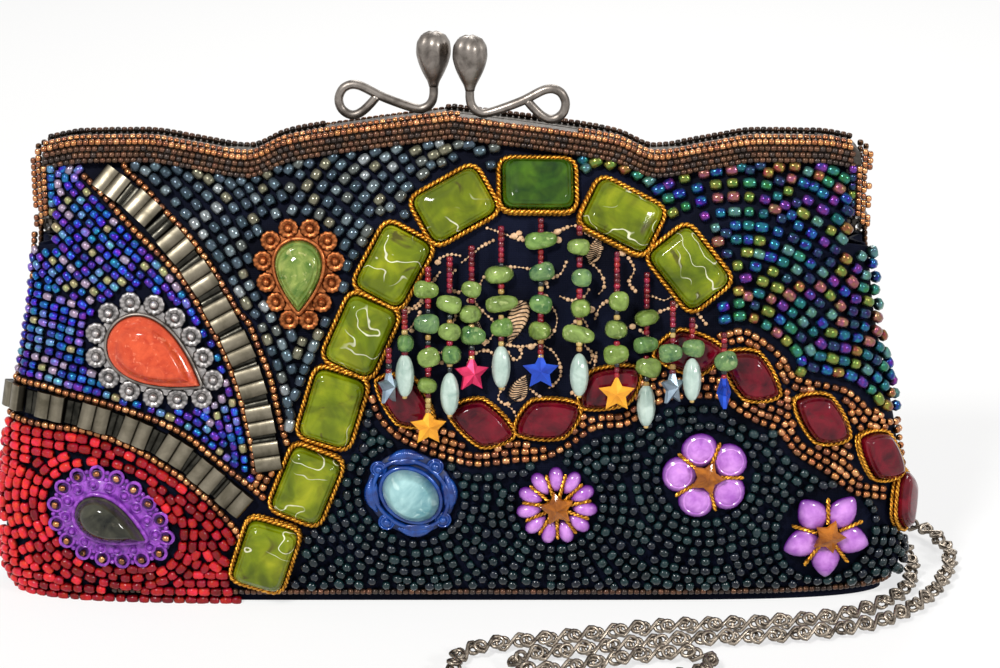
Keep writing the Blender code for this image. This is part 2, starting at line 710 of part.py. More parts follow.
def rounded_outline(corners, radius, steps=3):
    """A polygon with rounded corners, counter-clockwise."""
    points = []
    for k, corner in enumerate(corners):
        corner = Vector(corner)
        before = (Vector(corners[k - 1]) - corner).normalized() * radius
        after = (Vector(corners[(k + 1) % len(corners)]) - corner).normalized() * radius
        for step in range(steps + 1):
            t = step / steps
            points.append(corner + before * (1 - t) ** 2 + after * t ** 2)
    return points


def tip_outline(length, width, pointed, count=18):
    """An oval, drawn to a tip at +X where it is pointed."""
    points = []
    for k in range(count):
        turn = 2 * math.pi * k / count
        x, y = math.cos(turn), math.sin(turn)
        if pointed:
            y *= ((1 - x) / 2) ** TIP_POWER / TIP_WIDEST_SHARE
        points.append(Vector((x * length / 2, y * width / 2)))
    return points


def lobed_outline(length, width, lobes, depth, pointed=False):
    """An oval with round lobes. Depth is how far the gaps go in, as a share of the radius."""
    count = lobes * LOBE_STEPS
    points = []
    for k in range(count):
        turn = 2 * math.pi * k / count
        lobe = 1 - depth * (1 - abs(math.sin(lobes * turn / 2)))
        x, y = math.cos(turn), math.sin(turn)
        if pointed:
            y *= 1 - SETTING_TAPER_SHARE * x
        points.append(Vector((x * length / 2 * lobe, y * width / 2 * lobe)))
    return points


def domed(name, outline, height, shares):
    """A stone: its outline drawn in as it rises."""
    rings = [[(*(point * (1 - inset)), height * rise) for point in outline] for inset, rise in shares]
    return lofted(name, rings)


def make_row_of_stones(name, places, corners, size, corner, material):
    length, width, height = size
    mesh = domed(name, rounded_outline(corners, corner, 2), height, DOME_SHARES)
    mesh.materials.append(material)
    for number, (across, up, turn) in enumerate(places, 1):
        matrix = seat(face_matrix(across, up, turn), length, width)
        new_object(f"{name}_{number}", mesh, None, matrix)


def make_stones():
    a, b = GREEN_SIZE[0] / 2, GREEN_SIZE[1] / 2
    corners = ((-a, -b), (a, -b), (a, b), (-a, b))
    corner = GREEN_CORNER_SHARE * GREEN_SIZE[1]
    make_row_of_stones("green_stone", GREEN_PLACE_SHARES, corners, GREEN_SIZE, corner, GLASS_GREEN)
    a, b = RED_SIZE[0] / 2, RED_SIZE[1] / 2
    skew = RED_SKEW_SHARE * RED_SIZE[0]
    corners = ((-a, 0), (skew, -b), (a, 0), (-skew, b))
    corner = RED_CORNER_SHARE * RED_SIZE[1]
    make_row_of_stones("red_stone", RED_PLACE_SHARES, corners, RED_SIZE, corner, GLASS_RED)


def make_cabochons():
    for name, (place, turn, stone, pointed, setting, lobes) in CABOCHON_SHARES_BY_NAME.items():
        length, width, height = of_layout(stone)
        frame = of_layout(setting)
        matrix = seat(face_matrix(*place, turn), *frame)
        rim = tip_outline(length + 2 * GAP, width + 2 * GAP, pointed, lobes * LOBE_STEPS)
        edge = lobed_outline(*frame, lobes, SETTING_LOBE_SHARE, pointed)
        low = [(*point, 0) for point in edge]
        side = [(*point, SETTING_HEIGHT - BEZEL) for point in edge]
        inner = [(*(point * (1 + BEZEL * 2 / width)), SETTING_HEIGHT - BEZEL) for point in rim]
        crown = [(*(point * (1 + BEZEL / width)), SETTING_HEIGHT) for point in rim]
        lip = [(*point, SETTING_HEIGHT) for point in rim]
        floor = [(*point, SETTING_FLOOR) for point in rim]
        mesh = lofted(f"{name}_setting", [low, side, inner, crown, lip, floor])
        new_object(f"{name}_setting", mesh, SETTINGS[name], matrix)
        gem = domed(f"{name}_cabochon", tip_outline(length, width, pointed), height, CABOCHON_SHARES)
        lifted = matrix @ Matrix.Translation((0, 0, SETTING_FLOOR + GAP))
        new_object(f"{name}_cabochon", gem, GEMS[name], lifted)


def make_flowers():
    for name, (place, turn, share, petals, depth) in FLOWER_SHARES_BY_NAME.items():
        radius = share * LAYOUT
        matrix = seat(face_matrix(*place, turn), radius * 2, radius * 2)
        edge = lobed_outline(radius * 2, radius * 2, petals, depth)
        base = [(*point, 0) for point in edge]
        middle = [(*point, FLOWER_HEIGHT / 2) for point in edge]
        upper = [(*(point * PETAL_TOP_SHARE), FLOWER_HEIGHT) for point in edge]
        eye = [point.normalized() * radius * FLOWER_EYE_SHARE for point in edge]
        foot = [(*point, FLOWER_HEIGHT) for point in eye]
        top = [(*(point * EYE_TOP_SHARE), FLOWER_EYE_HEIGHT) for point in eye]
        new_object(name, lofted(name, [base, middle, upper, foot, top]), PETAL, matrix)


def make_band(name, places):
    """Grooved metal tiles on a ribbon that follows the face."""
    frames = []
    for k, place in enumerate(places):
        before = places[max(k - 1, 0)]
        after = places[min(k + 1, len(places) - 1)]
        start, end = face_matrix(*before, 0).translation, face_matrix(*after, 0).translation
        flat = face_matrix(*place, 0)
        way = flat.to_3x3().inverted() @ (end - start)
        frames.append(flat @ Matrix.Rotation(math.atan2(way.y, way.x), 4, "Z"))
    length, width, height = BAND_TILE
    bm = bmesh.new()
    for frame in frames:
        base = seat(frame, length, width)
        size = Matrix.Diagonal((length, width, height, 1))
        bmesh.ops.create_cube(bm, size=1, matrix=base @ Matrix.Translation((0, 0, height / 2)) @ size)
    tiles = new_helper(f"{name}_tiles", mesh_from(bm, f"{name}_tiles"))
    steps = 3
    middles = through([seat(frame, length, width).translation for frame in frames], BAND_TILE[0] / steps)
    count = len(middles) - 1

    def place(column, row):
        k = min(row, count - 1)
        way = (middles[k + 1] - middles[k]).normalized()
        near = min(range(len(frames)), key=lambda n: (frames[n].translation - middles[row]).length)
        out = frames[near].to_3x3().col[2]
        side = out.cross(way).normalized()
        shift = side * (column - 1 / 2) * BAND_STRIP_SHARE * width
        return middles[row] + shift + out * BAND_STRIP

    strip = new_object(name, sheet(name, 1, count, place), METAL_TILE)
    thicken(strip, BAND_STRIP)
    combine(strip, tiles, "UNION")


def over_red_stone(x, z, margin):
    """Whether a place on the face lies over one of the red stones."""
    half_length, half_width_of_stone = RED_SIZE[0] / 2 + margin, RED_SIZE[1] / 2 + margin
    for across, up, turn in RED_PLACE_SHARES:
        away = Vector((x - across * half_width(up * BODY_HEIGHT), z - up * BODY_HEIGHT))
        away.rotate(Matrix.Rotation(-math.radians(turn), 2))
        if abs(away.x) / half_length + abs(away.y) / half_width_of_stone < 1:
            return True
    return False


def fringe_hang(x, top, foot, side_reach):
    """How far in front a strand starts, and its lean, so that it clears the face and the red stones."""
    steps = 24
    needs = []
    for k in range(1, steps + 1):
        fall = (top - foot) * k / steps
        pendant = k > steps - steps * DROP_LENGTH / (top - foot)
        need = face_depth(x, top - fall) + FABRIC / 2 + GAP + (side_reach if pendant else CHIP_RADIUS)
        if over_red_stone(x, top - fall, STAR_RADIUS if pendant else CHIP_RADIUS):
            need += RED_SIZE[2] + SEAT
        needs.append((fall, need))
    most = math.tan(math.radians(FRINGE_LEAN))
    start = max(need - fall * most for fall, need in needs)
    start = max(start, face_depth(x, top) + FABRIC / 2 + FRINGE_TOP)
    return start, max(math.atan2(need - start, fall) for fall, need in needs)


def strand_profile(length):
    """Radius and height down a strand of seed beads with a chip at each share."""
    corner = SEED_RADIUS * math.sqrt(1 / 2)
    profile = [(0, SEED_RADIUS), (corner, corner), (SEED_RADIUS, 0)]
    reach = length - DROP_LENGTH / 2 - CHIP_LENGTH / 2
    count = max(1, min(len(CHIP_SHARES), int(reach / (CHIP_LENGTH * 2))))
    for share in CHIP_SHARES[-count:]:
        middle = -reach * share
        if -middle < CHIP_LENGTH / 2 + 2 * SEED_RADIUS:
            continue
        profile += [(SEED_RADIUS, middle + CHIP_LENGTH / 2), (CHIP_RADIUS, middle + CHIP_LENGTH / 6),
                    (CHIP_RADIUS, middle - CHIP_LENGTH / 6), (SEED_RADIUS, middle - CHIP_LENGTH / 2)]
    return profile


def star_outline(radius):
    points = []
    for k in range(10):
        turn = math.pi * k / 5 + math.pi / 2
        reach = radius * (1 if k % 2 == 0 else STAR_WAIST_SHARE)
        points.append((reach * math.cos(turn), reach * math.sin(turn)))
    return points


def make_fringe():
    """Strands that hang from stitches in the front panel, each swinging about its top bead."""
    stitches = bmesh.new()
    for number, (across, top_share, foot_share, pendant, turn) in enumerate(FRINGE_SHARES, 1):
        z = top_share * BODY_HEIGHT
        foot = foot_share * BODY_HEIGHT
        x = across * half_width(foot)
        reach, side_reach = DROP_LENGTH / 2, DROP_RADIUS
        if pendant == "star":
            reach = STAR_RADIUS
            angle = math.radians(turn)
            side_reach = STAR_RADIUS * math.sin(angle) + STAR_THICKNESS / 2 * math.cos(angle)
        start, lean = fringe_hang(x, z, foot - reach, side_reach)
        length = (z - foot) / math.cos(lean)
        profile = strand_profile(length)
        name = f"fringe_strand_{number:02}"
        matrix = Matrix.Translation((x, -start, z)) @ Matrix.Rotation(-lean, 4, "X")
        if pendant == "drop":
            half = DROP_LENGTH / 2
            profile += [(SEED_RADIUS, half - length), (DROP_RADIUS, half / 3 - length),
                        (DROP_RADIUS, -half / 3 - length), (SEED_RADIUS, -half - length)]
            profile += [(0, -half - length)]
        else:
            profile += [(SEED_RADIUS, -length), (0, -length)]
        strand = new_object(name, turned(name, profile), GLASS_CHIP, matrix)
        screw(strand, STRAND_STEPS)
        if pendant == "star":
            upright = Matrix.Translation((0, 0, -length)) @ Matrix.Rotation(math.radians(turn), 4, "Z")
            upright = upright @ Matrix.Rotation(math.pi / 2, 4, "X")
            star = new_helper(f"{name}_star", plate(f"{name}_star", star_outline(STAR_RADIUS),
                                                    STAR_THICKNESS, upright), matrix)
            combine(strand, star, "UNION")
        near, far = start - SEED_RADIUS - GAP, face_depth(x, z)
        middle = Matrix.Translation((x, -(near + far) / 2, z)) @ Matrix.Rotation(math.pi / 2, 4, "X")
        bmesh.ops.create_cone(stitches, cap_ends=True, segments=STRAND_STEPS, radius1=SEED_RADIUS,
                              radius2=SEED_RADIUS, depth=near - far, matrix=middle)
    combine(bpy.data.objects["front_panel"], new_helper("stitches", mesh_from(stitches, "stitches")),
            "UNION")


def main():
    make_panels()
    make_gussets()
    make_base_board()
    make_lining()
    make_bow("front_bow", -1)
    make_bow("back_bow", 1)
    make_rivets()
    make_chain_rings()
    make_clasp("front_clasp", -1, 1)
    make_clasp("back_clasp", 1, -1)
    make_stones()
    make_cabochons()
    make_flowers()
    make_band("upper_tube_band", UPPER_BAND_SHARES)
    make_band("lower_tube_band", LOWER_BAND_SHARES)
    make_fringe()
    make_chain()


clear_scene()
PARTS = new_collection("beaded_evening_bag")
HELPERS = new_collection("helpers")
FABRIC_NAVY = new_material("navy_satin", (0.012, 0.014, 0.045), 0.5)
FABRIC_LINING = new_material("black_lining", (0.01, 0.01, 0.012), 0.6)
METAL = new_material("aged_gunmetal", (0.16, 0.14, 0.125), 0.4, metallic=1)
METAL_TILE = new_material("hematite", (0.2, 0.19, 0.17), 0.2, metallic=1)
GLASS_GREEN = new_material("green_glass", (0.2, 0.33, 0.03), 0.15)
GLASS_RED = new_material("red_glass", (0.22, 0.01, 0.03), 0.2)
GLASS_CHIP = new_material("chip_glass", (0.25, 0.5, 0.12), 0.1, transmission=0.6)
PETAL = new_material("violet_petal", (0.45, 0.13, 0.55), 0.3)
SETTINGS = {
    "coral": new_material("silver_daisy", (0.35, 0.34, 0.33), 0.4, metallic=1),
    "green_drop": new_material("copper_daisy", (0.35, 0.14, 0.06), 0.4, metallic=1),
    "black": new_material("violet_enamel", (0.25, 0.05, 0.4), 0.4),
    "blue": new_material("blue_enamel", (0.01, 0.06, 0.4), 0.25),
}
GEMS = {
    "coral": new_material("coral", (0.75, 0.13, 0.07), 0.25),
    "green_drop": new_material("green_crystal", (0.25, 0.4, 0.12), 0.1),
    "black": new_material("black_labradorite", (0.03, 0.04, 0.03), 0.15),
    "blue": new_material("blue_crystal", (0.2, 0.5, 0.62), 0.05),
}
main()
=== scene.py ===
"""Dressed model of a beaded evening bag: seed beads, stones, cords, lace, fringe, metal frame and chain.

Metres, +Z up, the front faces -Y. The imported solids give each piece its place.
"""

import bisect
import math
import random

import bmesh
import bpy
from bpy.props import FloatProperty, FloatVectorProperty, PointerProperty
from mathutils import Matrix, Vector, kdtree


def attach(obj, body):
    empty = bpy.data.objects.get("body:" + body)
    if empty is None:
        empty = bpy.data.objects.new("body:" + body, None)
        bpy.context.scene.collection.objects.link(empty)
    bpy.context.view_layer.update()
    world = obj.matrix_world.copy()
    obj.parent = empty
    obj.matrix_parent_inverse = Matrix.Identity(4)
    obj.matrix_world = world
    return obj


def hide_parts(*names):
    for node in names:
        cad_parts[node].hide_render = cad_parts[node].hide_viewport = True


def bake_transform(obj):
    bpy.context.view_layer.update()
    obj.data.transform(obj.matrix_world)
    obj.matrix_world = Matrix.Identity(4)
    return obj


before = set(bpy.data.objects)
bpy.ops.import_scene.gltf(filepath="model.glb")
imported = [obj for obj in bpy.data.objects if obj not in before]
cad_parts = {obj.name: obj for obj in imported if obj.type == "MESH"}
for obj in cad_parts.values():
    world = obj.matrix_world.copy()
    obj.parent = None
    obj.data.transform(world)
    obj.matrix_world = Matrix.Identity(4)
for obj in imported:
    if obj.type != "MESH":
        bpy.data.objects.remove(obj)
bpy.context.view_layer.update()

bl_info = {
    "name": "Beaded evening bag",
    "version": (1, 0, 0),
    "blender": (4, 5, 0),
    "location": "View3D > Sidebar > Evening bag",
    "description": "Beads, stones, cords, fringe, frame and chain of an evening bag",
    "category": "Object",
}

# The body's shape, as in the solids
GAP = 0.0003
BODY_HALF_WIDTH = 0.115
BODY_HEIGHT = 0.1155
BODY_HALF_DEPTH = 0.0225
SIDE_HALF_DEPTH = 0.0081
WAVE_RISE = 0.008
FABRIC = 0.0016
GUSSET_FABRIC = 0.0012
GUSSET_FOLD = 0.003
BOARD = 0.0024
LINING = 0.0005
FRAME_HALF_WIDTH = 0.887 * BODY_HALF_WIDTH
BOW_THICKNESS = 0.0043
BOW_HEIGHT = 0.0055
BOW_OFFSET = 0.00245
LEG_WIDTH = 0.0031
LEG_LENGTH = 0.0165
LEG_INNER = FRAME_HALF_WIDTH - LEG_WIDTH
GRIP = 0.003
NECK = 0.0016
HINGE_HEIGHT = BODY_HEIGHT - LEG_LENGTH - 0.003 - 0.0003 - GAP
NOTCH_HEIGHT = HINGE_HEIGHT - 0.003 - FABRIC
WIDTH_SHARES = ((0, 0.965), (0.07, 1), (0.22, 0.995), (0.35, 0.98), (0.46, 0.958), (0.56, 0.934),
                (0.66, 0.915), (0.78, 0.902), (0.9, 0.894), (1, 0.89))
BULGE_SHARES = ((0, 0.82), (0.04, 0.91), (0.16, 1), (0.27, 0.99), (0.42, 0.91), (0.58, 0.78),
                (0.74, 0.61), (0.85, 0.455), (0.92, 0.285), (0.965, 0.11), (1, 0))
SIDE_SHARES = ((0, 1), (0.53, 0.88), (0.79, 0.56), (0.95, 0.17), (1, 0))
WAVE_SHARES = ((0, 1), (0.25, 0.575), (0.4, 0.24), (0.5, -0.25), (0.62, 0), (0.75, 0.25),
               (0.9, 0.225), (1, 0))

# Stones and ornaments, as in the solids
LAYOUT = 0.115
SEAT = 0.0005
GREEN_SIZE = (0.1548 * LAYOUT, 0.1113 * LAYOUT, 0.0383 * LAYOUT)
RED_SIZE = (0.1435 * LAYOUT, 0.0939 * LAYOUT, 0.033 * LAYOUT)
TILE_SIZE = (0.0557 * LAYOUT, 0.0539 * LAYOUT, 0.0226 * LAYOUT)
SETTING_FLOOR = 0.001
GREEN_PLACES = ((-0.413, 0.126, 72), (-0.322, 0.288, 68), (-0.27, 0.457, 73),
                (-0.212, 0.614, 66), (-0.138, 0.762, 62), (0.007, 0.884, 29),
                (0.206, 0.918, -2), (0.407, 0.856, -30), (0.567, 0.752, -51))
RED_PLACES = ((-0.106, 0.473, -35), (0.067, 0.425, -18), (0.216, 0.433, 24),
              (0.36, 0.501, 34), (0.552, 0.575, 6), (0.688, 0.525, -34),
              (0.833, 0.426, -35), (0.952, 0.33, -40), (0.993, 0.213, -78))
UPPER_BAND = ((-0.822, 0.914), (-0.742, 0.87), (-0.66, 0.799), (-0.597, 0.732), (-0.544, 0.655),
              (-0.496, 0.585), (-0.459, 0.512), (-0.429, 0.43), (-0.41, 0.352))
LOWER_BAND = ((-0.99, 0.455), (-0.906, 0.448), (-0.803, 0.431), (-0.708, 0.403),
              (-0.616, 0.362), (-0.544, 0.309), (-0.48, 0.257))
# Place, turn, stone, pointed or not, setting and number of lobes
CABOCHONS = {
    "coral": ((-0.684, 0.565), -32, (0.226, 0.1374, 0.0452), True, (0.334, 0.24), 14),
    "green_drop": ((-0.362, 0.738), -90, (0.1565, 0.1026, 0.0365), True, (0.2487, 0.1948), 12),
    "black": ((-0.748, 0.2), -25, (0.1687, 0.0991, 0.04), True, (0.3, 0.2304), 16),
    "blue": ((-0.091, 0.269), -40, (0.136, 0.1075, 0.042), False, (0.2157, 0.1983), 8),
}
# Place, turn, radius, petals, the petals' length, width and how far they narrow outwards
FLOWERS = {
    "small_petal_flower": ((0.23, 0.242), 10, 0.0896, 11, 0.0066, 0.0037, -0.25),
    "round_petal_flower": ((0.562, 0.308), -3, 0.0974, 5, 0.0089, 0.0092, -0.05),
    "pointed_petal_flower": ((0.822, 0.168), 18, 0.102, 5, 0.0096, 0.0076, 0.22),
}

# Fringe: place across, place in front, height of the top, lean in degrees, share of the height where the
# pendant hangs, pendant and its turn
SEED_RADIUS = 0.0007
CHIP_LENGTH = 0.0036
DROP_LENGTH = 0.0105
STAR_RADIUS = 0.0374 * LAYOUT
FRINGE = (
    (-0.01537, 0.0266, 0.06976, 14.0, 0.528, "silver_star", 62),
    (-0.01153, 0.02202, 0.07842, 14.0, 0.545, "drop", 0),
    (-0.00576, 0.01908, 0.08836, 14.0, 0.436, "gold_star", 10),
    (-0.00044, 0.0181, 0.09067, 14.0, 0.504, "drop", 0),
    (0.00496, 0.01646, 0.09298, 12.87, 0.542, "pink_star", 25),
    (0.01227, 0.01497, 0.0976, 11.68, 0.553, "drop", 0),
    (0.02209, 0.01395, 0.09933, 13.83, 0.546, "blue_star", 0),
    (0.03158, 0.01645, 0.09818, 14.0, 0.545, "drop", 0),
    (0.04085, 0.01788, 0.09182, 14.0, 0.505, "gold_star", 0),
    (0.0484, 0.01637, 0.08605, 10.93, 0.467, "drop", 0),
    (0.05447, 0.02348, 0.08085, 14.0, 0.527, "silver_star", 50),
    (0.05942, 0.02231, 0.07623, 14.0, 0.536, "drop", 0),
    (0.06714, 0.02511, 0.07323, 14.0, 0.515, "blue_star", 90),
)
CHIP_SHARES = (0.16, 0.42, 0.68, 0.9)

# Clasp and chain, as in the solids
CLASP_WIRE = 0.00115
KNOB_RADIUS = 0.0044
KNOB_HEIGHT = 0.0135
KNOB_OFFSET = KNOB_RADIUS + GAP / 2
CLASP_LENGTH = 0.024
CLASP_RISE = 0.0057
ARM_SHARES = ((0, 1), (0, 0.5), (0.025, 0.18), (0.09, 0), (0.2, 0.03), (0.52, 0.5), (0.78, 0.9),
              (0.92, 0.86), (0.985, 0.6), (0.97, 0.32), (0.9, 0.12), (0.82, 0.06), (0.74, 0.14),
              (0.66, 0.33), (0.59, 0.55))
KNOB_SHARES = ((0.27, 0), (0.32, 0.07), (0.6, 0.25), (0.87, 0.46), (1, 0.66), (0.96, 0.82), (0.74, 0.94),
               (0.36, 1))
RING_RADIUS = 0.0026
RING_WIRE = 0.0005
CHAIN_RADIUS = 0.00275
CHAIN_STEP = 0.0135
CHAIN_FLOOR = 0.0028
CHAIN_DROP = (
    (0.1056, 0.0175, 0.078), (0.1055, 0.0195, 0.062), (0.105, 0.0208, 0.042),
    (0.104, 0.0235, 0.022), (0.105, 0.0288, 0.008),
)
CHAIN_FLOOR_ROUTE = (
    (0.1115, 0.0268), (0.118, 0.017), (0.1203, 0.004), (0.119, -0.0095), (0.1145, -0.021),
    (0.106, -0.03), (0.094, -0.0365), (0.076, -0.04), (0.05, -0.0425), (0.037, -0.046),
    (0.024, -0.0495), (0.012, -0.052), (0.004, -0.0565), (0.001, -0.064), (0.005, -0.0715),
    (0.015, -0.075), (0.03, -0.075), (0.046, -0.073), (0.057, -0.0695), (0.0625, -0.063),
    (0.058, -0.0575), (0.047, -0.0585), (0.036, -0.0625), (0.026, -0.0665), (0.0185, -0.066),
    (0.016, -0.0615), (0.021, -0.0578), (0.033, -0.0548), (0.048, -0.0513), (0.061, -0.049),
    (0.08, -0.047), (0.097, -0.043), (0.11, -0.036), (0.1205, -0.024), (0.1275, -0.01),
    (0.131, 0.004), (0.129, 0.0175), (0.121, 0.0285), (0.107, 0.037), (0.08, 0.04), (0.04, 0.0405),
    (0.0, 0.0405), (-0.045, 0.04), (-0.08, 0.037), (-0.097, 0.0325),
)

# The camera of the photograph
CAMERA_PLACE = Vector((0.012, -0.6332, 0.2711))
CAMERA_TILT = math.radians(72)
FOCAL_PIXELS = 2600
PHOTO_MIDDLE = (500, 334)

# Lines of the beadwork, by their pixels in the photograph
UPPER_LEFT_ROW = ((86, 178), (110, 203), (137, 232), (159, 253), (182, 277), (199, 305), (210, 325),
                  (223, 348), (233, 373), (241, 396), (247, 421), (253, 447), (255, 472))
UPPER_RIGHT_ROW = ((124, 159), (126, 170), (143, 187), (169, 216), (191, 239), (210, 264), (226, 290),
                   (239, 312), (249, 322), (260, 348), (271, 376), (277, 402), (282, 424), (288, 444))
LOWER_TOP_ROW = ((22, 377), (40, 383), (64, 391), (84, 396), (112, 404), (140, 413), (166, 423),
                 (191, 437), (210, 453), (230, 469), (249, 483), (268, 499))
LOWER_FOOT_ROW = ((17, 412), (32, 420), (57, 425), (86, 429), (112, 437), (137, 448), (163, 463),
                  (188, 480), (210, 499), (230, 520), (242, 536))
ARCH_LINE = ((265, 555), (305, 487), (331, 411), (360, 338), (393, 268), (455, 210), (537, 190),
             (622, 222), (690, 272))
COPPER_FOOT = ((365, 385), (375, 415), (395, 437), (425, 452), (455, 462), (480, 466), (513, 462),
               (546, 459), (576, 443), (596, 429), (626, 426), (646, 413), (659, 404), (679, 399),
               (719, 399), (732, 409), (755, 423), (775, 431), (792, 453), (812, 466), (832, 479),
               (845, 492), (861, 496), (884, 499))
COPPER_TOP = ((725, 330), (742, 326), (762, 336), (785, 356), (795, 373), (822, 380), (845, 386),
              (861, 399), (878, 416), (895, 426))
RED_LINE = ((690, 355), (650, 375), (610, 390), (548, 421), (482, 425), (405, 403))
TRIANGLE = ((250, 478), (262, 470), (283, 452), (292, 470), (284, 492), (276, 506), (266, 503))
LACE_CURLS = (
    ((440, 258), (450, 254), (462, 256)),
    ((487, 228), (505, 234), (520, 240), (540, 236), (556, 232), (575, 226), (590, 236), (604, 243)),
    ((478, 288), (486, 274), (500, 268), (520, 267), (538, 272), (546, 282), (548, 290)),
    ((538, 298), (550, 304), (557, 318), (552, 334), (540, 341)),
    ((502, 343), (520, 346), (538, 344), (552, 350), (560, 364), (559, 378), (548, 388)),
    ((508, 352), (516, 360), (522, 352), (516, 344)),
    ((566, 330), (574, 322), (582, 318), (588, 330), (584, 344), (592, 352), (590, 362), (580, 360)),
    ((595, 318), (600, 306), (612, 298), (625, 294)),
    ((596, 352), (594, 366), (588, 380), (590, 392)),
    ((660, 311), (672, 307), (684, 304), (696, 312), (706, 324)),
    ((405, 306), (414, 309), (424, 302), (432, 296)),
    ((420, 312), (416, 322), (406, 332), (404, 345)),
    ((480, 290), (474, 300), (484, 312), (494, 322), (492, 336), (484, 344)),
    ((590, 262), (600, 272), (604, 286), (596, 296)),
    ((618, 345), (626, 356), (620, 368), (612, 374)),
    ((628, 258), (634, 270), (628, 282), (636, 292)),
    ((505, 384), (498, 398), (512, 408), (517, 418)),
    ((440, 330), (450, 340), (444, 352), (432, 350)),
    ((455, 270), (448, 280), (456, 292), (466, 288)),
    ((640, 330), (650, 338), (646, 350), (636, 352)),
    ((404, 318), (412, 308), (422, 300), (430, 286), (440, 272)),
    ((462, 262), (472, 254), (482, 246), (494, 240)),
    ((468, 362), (476, 352), (488, 350), (496, 358), (492, 368)),
    ((420, 352), (430, 360), (442, 362), (452, 356)),
    ((566, 262), (560, 274), (548, 278)),
    ((530, 388), (540, 396), (552, 400)),
    ((572, 392), (582, 400), (578, 408)),
    ((652, 296), (664, 300), (672, 296)),
    ((560, 296), (572, 300), (584, 296), (590, 286)),
    ((448, 306), (456, 314), (452, 324)),
)
LACE_FANS = (((524, 300), (508, 344), 0.0052), ((590, 262), (600, 236), 0.0036),
             ((514, 400), (526, 374), 0.0046), ((478, 338), (470, 312), 0.0032))
LACE_BLOBS = ((519, 233), (521, 238), (514, 236), (557, 232), (558, 240), (551, 237), (622, 253),
              (632, 326), (695, 326), (484, 341), (531, 346), (591, 309), (508, 403), (438, 262),
              (412, 330), (650, 318), (600, 248), (545, 296), (470, 300))

random.seed(7)


def smooth(shares, at):
    """The value at a place on a curve through the shares that never overshoots them."""
    at = min(max(at, shares[0][0]), shares[-1][0])
    last = len(shares) - 1
    left = max(k for k in range(last) if shares[k][0] <= at)
    chords = [(b[1] - a[1]) / (b[0] - a[0]) for a, b in zip(shares, shares[1:])]

    def slope(k):
        if k in (0, last):
            return chords[min(k, last - 1)]
        before, after = chords[k - 1], chords[k]
        return 2 * before * after / (before + after) if before * after > 0 else 0

    span = shares[left + 1][0] - shares[left][0]
    t = (at - shares[left][0]) / span
    start, end = slope(left) * span, slope(left + 1) * span
    return ((2 * t ** 3 - 3 * t ** 2 + 1) * shares[left][1] + (t ** 3 - 2 * t ** 2 + t) * start
            + (3 * t ** 2 - 2 * t ** 3) * shares[left + 1][1] + (t ** 3 - t ** 2) * end)


def top_height(x):
    """Height of the frame's top edge."""
    return BODY_HEIGHT + WAVE_RISE * smooth(WAVE_SHARES, abs(x) / FRAME_HALF_WIDTH)


def neck_height(x):
    return top_height(x) - BOW_HEIGHT - NECK


def half_width(z):
    return BODY_HALF_WIDTH * smooth(WIDTH_SHARES, z / BODY_HEIGHT)


def side_depth(x, z):
    return BOW_OFFSET + (SIDE_HALF_DEPTH - BOW_OFFSET) * smooth(SIDE_SHARES, z / neck_height(x))


def face_depth(x, z):
    """Half the depth of the body at a place."""
    side = side_depth(x, z)
    full = BOW_OFFSET + (BODY_HALF_DEPTH - BOW_OFFSET) * smooth(BULGE_SHARES, z / neck_height(x))
    across = min(abs(x) / half_width(z), 1)
    return side + (full - side) * math.sqrt(1 - across ** 6)


def face_point(across, z):
    """A point of the front face, where across runs from -1 to 1."""
    x = math.sin(across * math.pi / 2) * half_width(z)
    return Vector((x, -face_depth(x, z), z))


def through(points, step):
    """Points along a smooth curve through the given ones, at most a step apart."""
    found = [Vector(points[0])]
    for k in range(len(points) - 1):
        a, b = Vector(points[k]), Vector(points[k + 1])
        before = Vector(points[k - 1]) if k else a * 2 - b
        after = Vector(points[k + 2]) if k + 2 < len(points) else b * 2 - a
        pieces = max(1, round((b - a).length / step))
        for piece in range(1, pieces + 1):
            t = piece / pieces
            found.append((a * 2 + (b - before) * t + (before * 2 - a * 5 + b * 4 - after) * t ** 2
                          + (a * 3 - before - b * 3 + after) * t ** 3) / 2)
    return found


def evenly(points, step):
    """Points a step apart along a line."""
    found = [points[0].copy()]
    carried = 0
    for a, b in zip(points, points[1:]):
        length = (b - a).length
        at = step - carried
        while at <= length:
            found.append(a.lerp(b, at / length))
            at += step
        carried = length - (at - step)
    return found


# Round the face: the share of the half width against the length along the cloth
ARC_STEPS = 120
ARC_SHARES = [math.sin(k / ARC_STEPS * math.pi / 2) for k in range(ARC_STEPS + 1)]
ARC_LENGTHS = [0]
for near, far in zip(ARC_SHARES, ARC_SHARES[1:]):
    fall = math.sqrt(1 - near ** 6) - math.sqrt(max(0, 1 - far ** 6))
    ARC_LENGTHS.append(ARC_LENGTHS[-1] + math.hypot(far - near, fall * 0.115))


def between(places, values, at):
    k = min(max(bisect.bisect_right(places, at) - 1, 0), len(places) - 2)
    t = (at - places[k]) / (places[k + 1] - places[k])
    return values[k] + (values[k + 1] - values[k]) * min(max(t, 0), 1)


def unrolled(x, z):
    """Length along the cloth from the middle line."""
    wide = half_width(z)
    return math.copysign(wide * between(ARC_SHARES, ARC_LENGTHS, min(abs(x) / wide, 1)), x)


def edge_reach(z):
    return half_width(z) * ARC_LENGTHS[-1]


def cloth_point(u, z):
    wide = half_width(z)
    x = math.copysign(wide * between(ARC_LENGTHS, ARC_SHARES, abs(u) / wide), u)
    return Vector((x, -face_depth(x, z), z))


def axes(along, side, out):
    """A turn from its three axes."""
    return Matrix((along, side, out)).transposed().to_4x4()


def spun(x, y, angle):
    return Vector((x * math.cos(angle) - y * math.sin(angle), x * math.sin(angle) + y * math.cos(angle)))


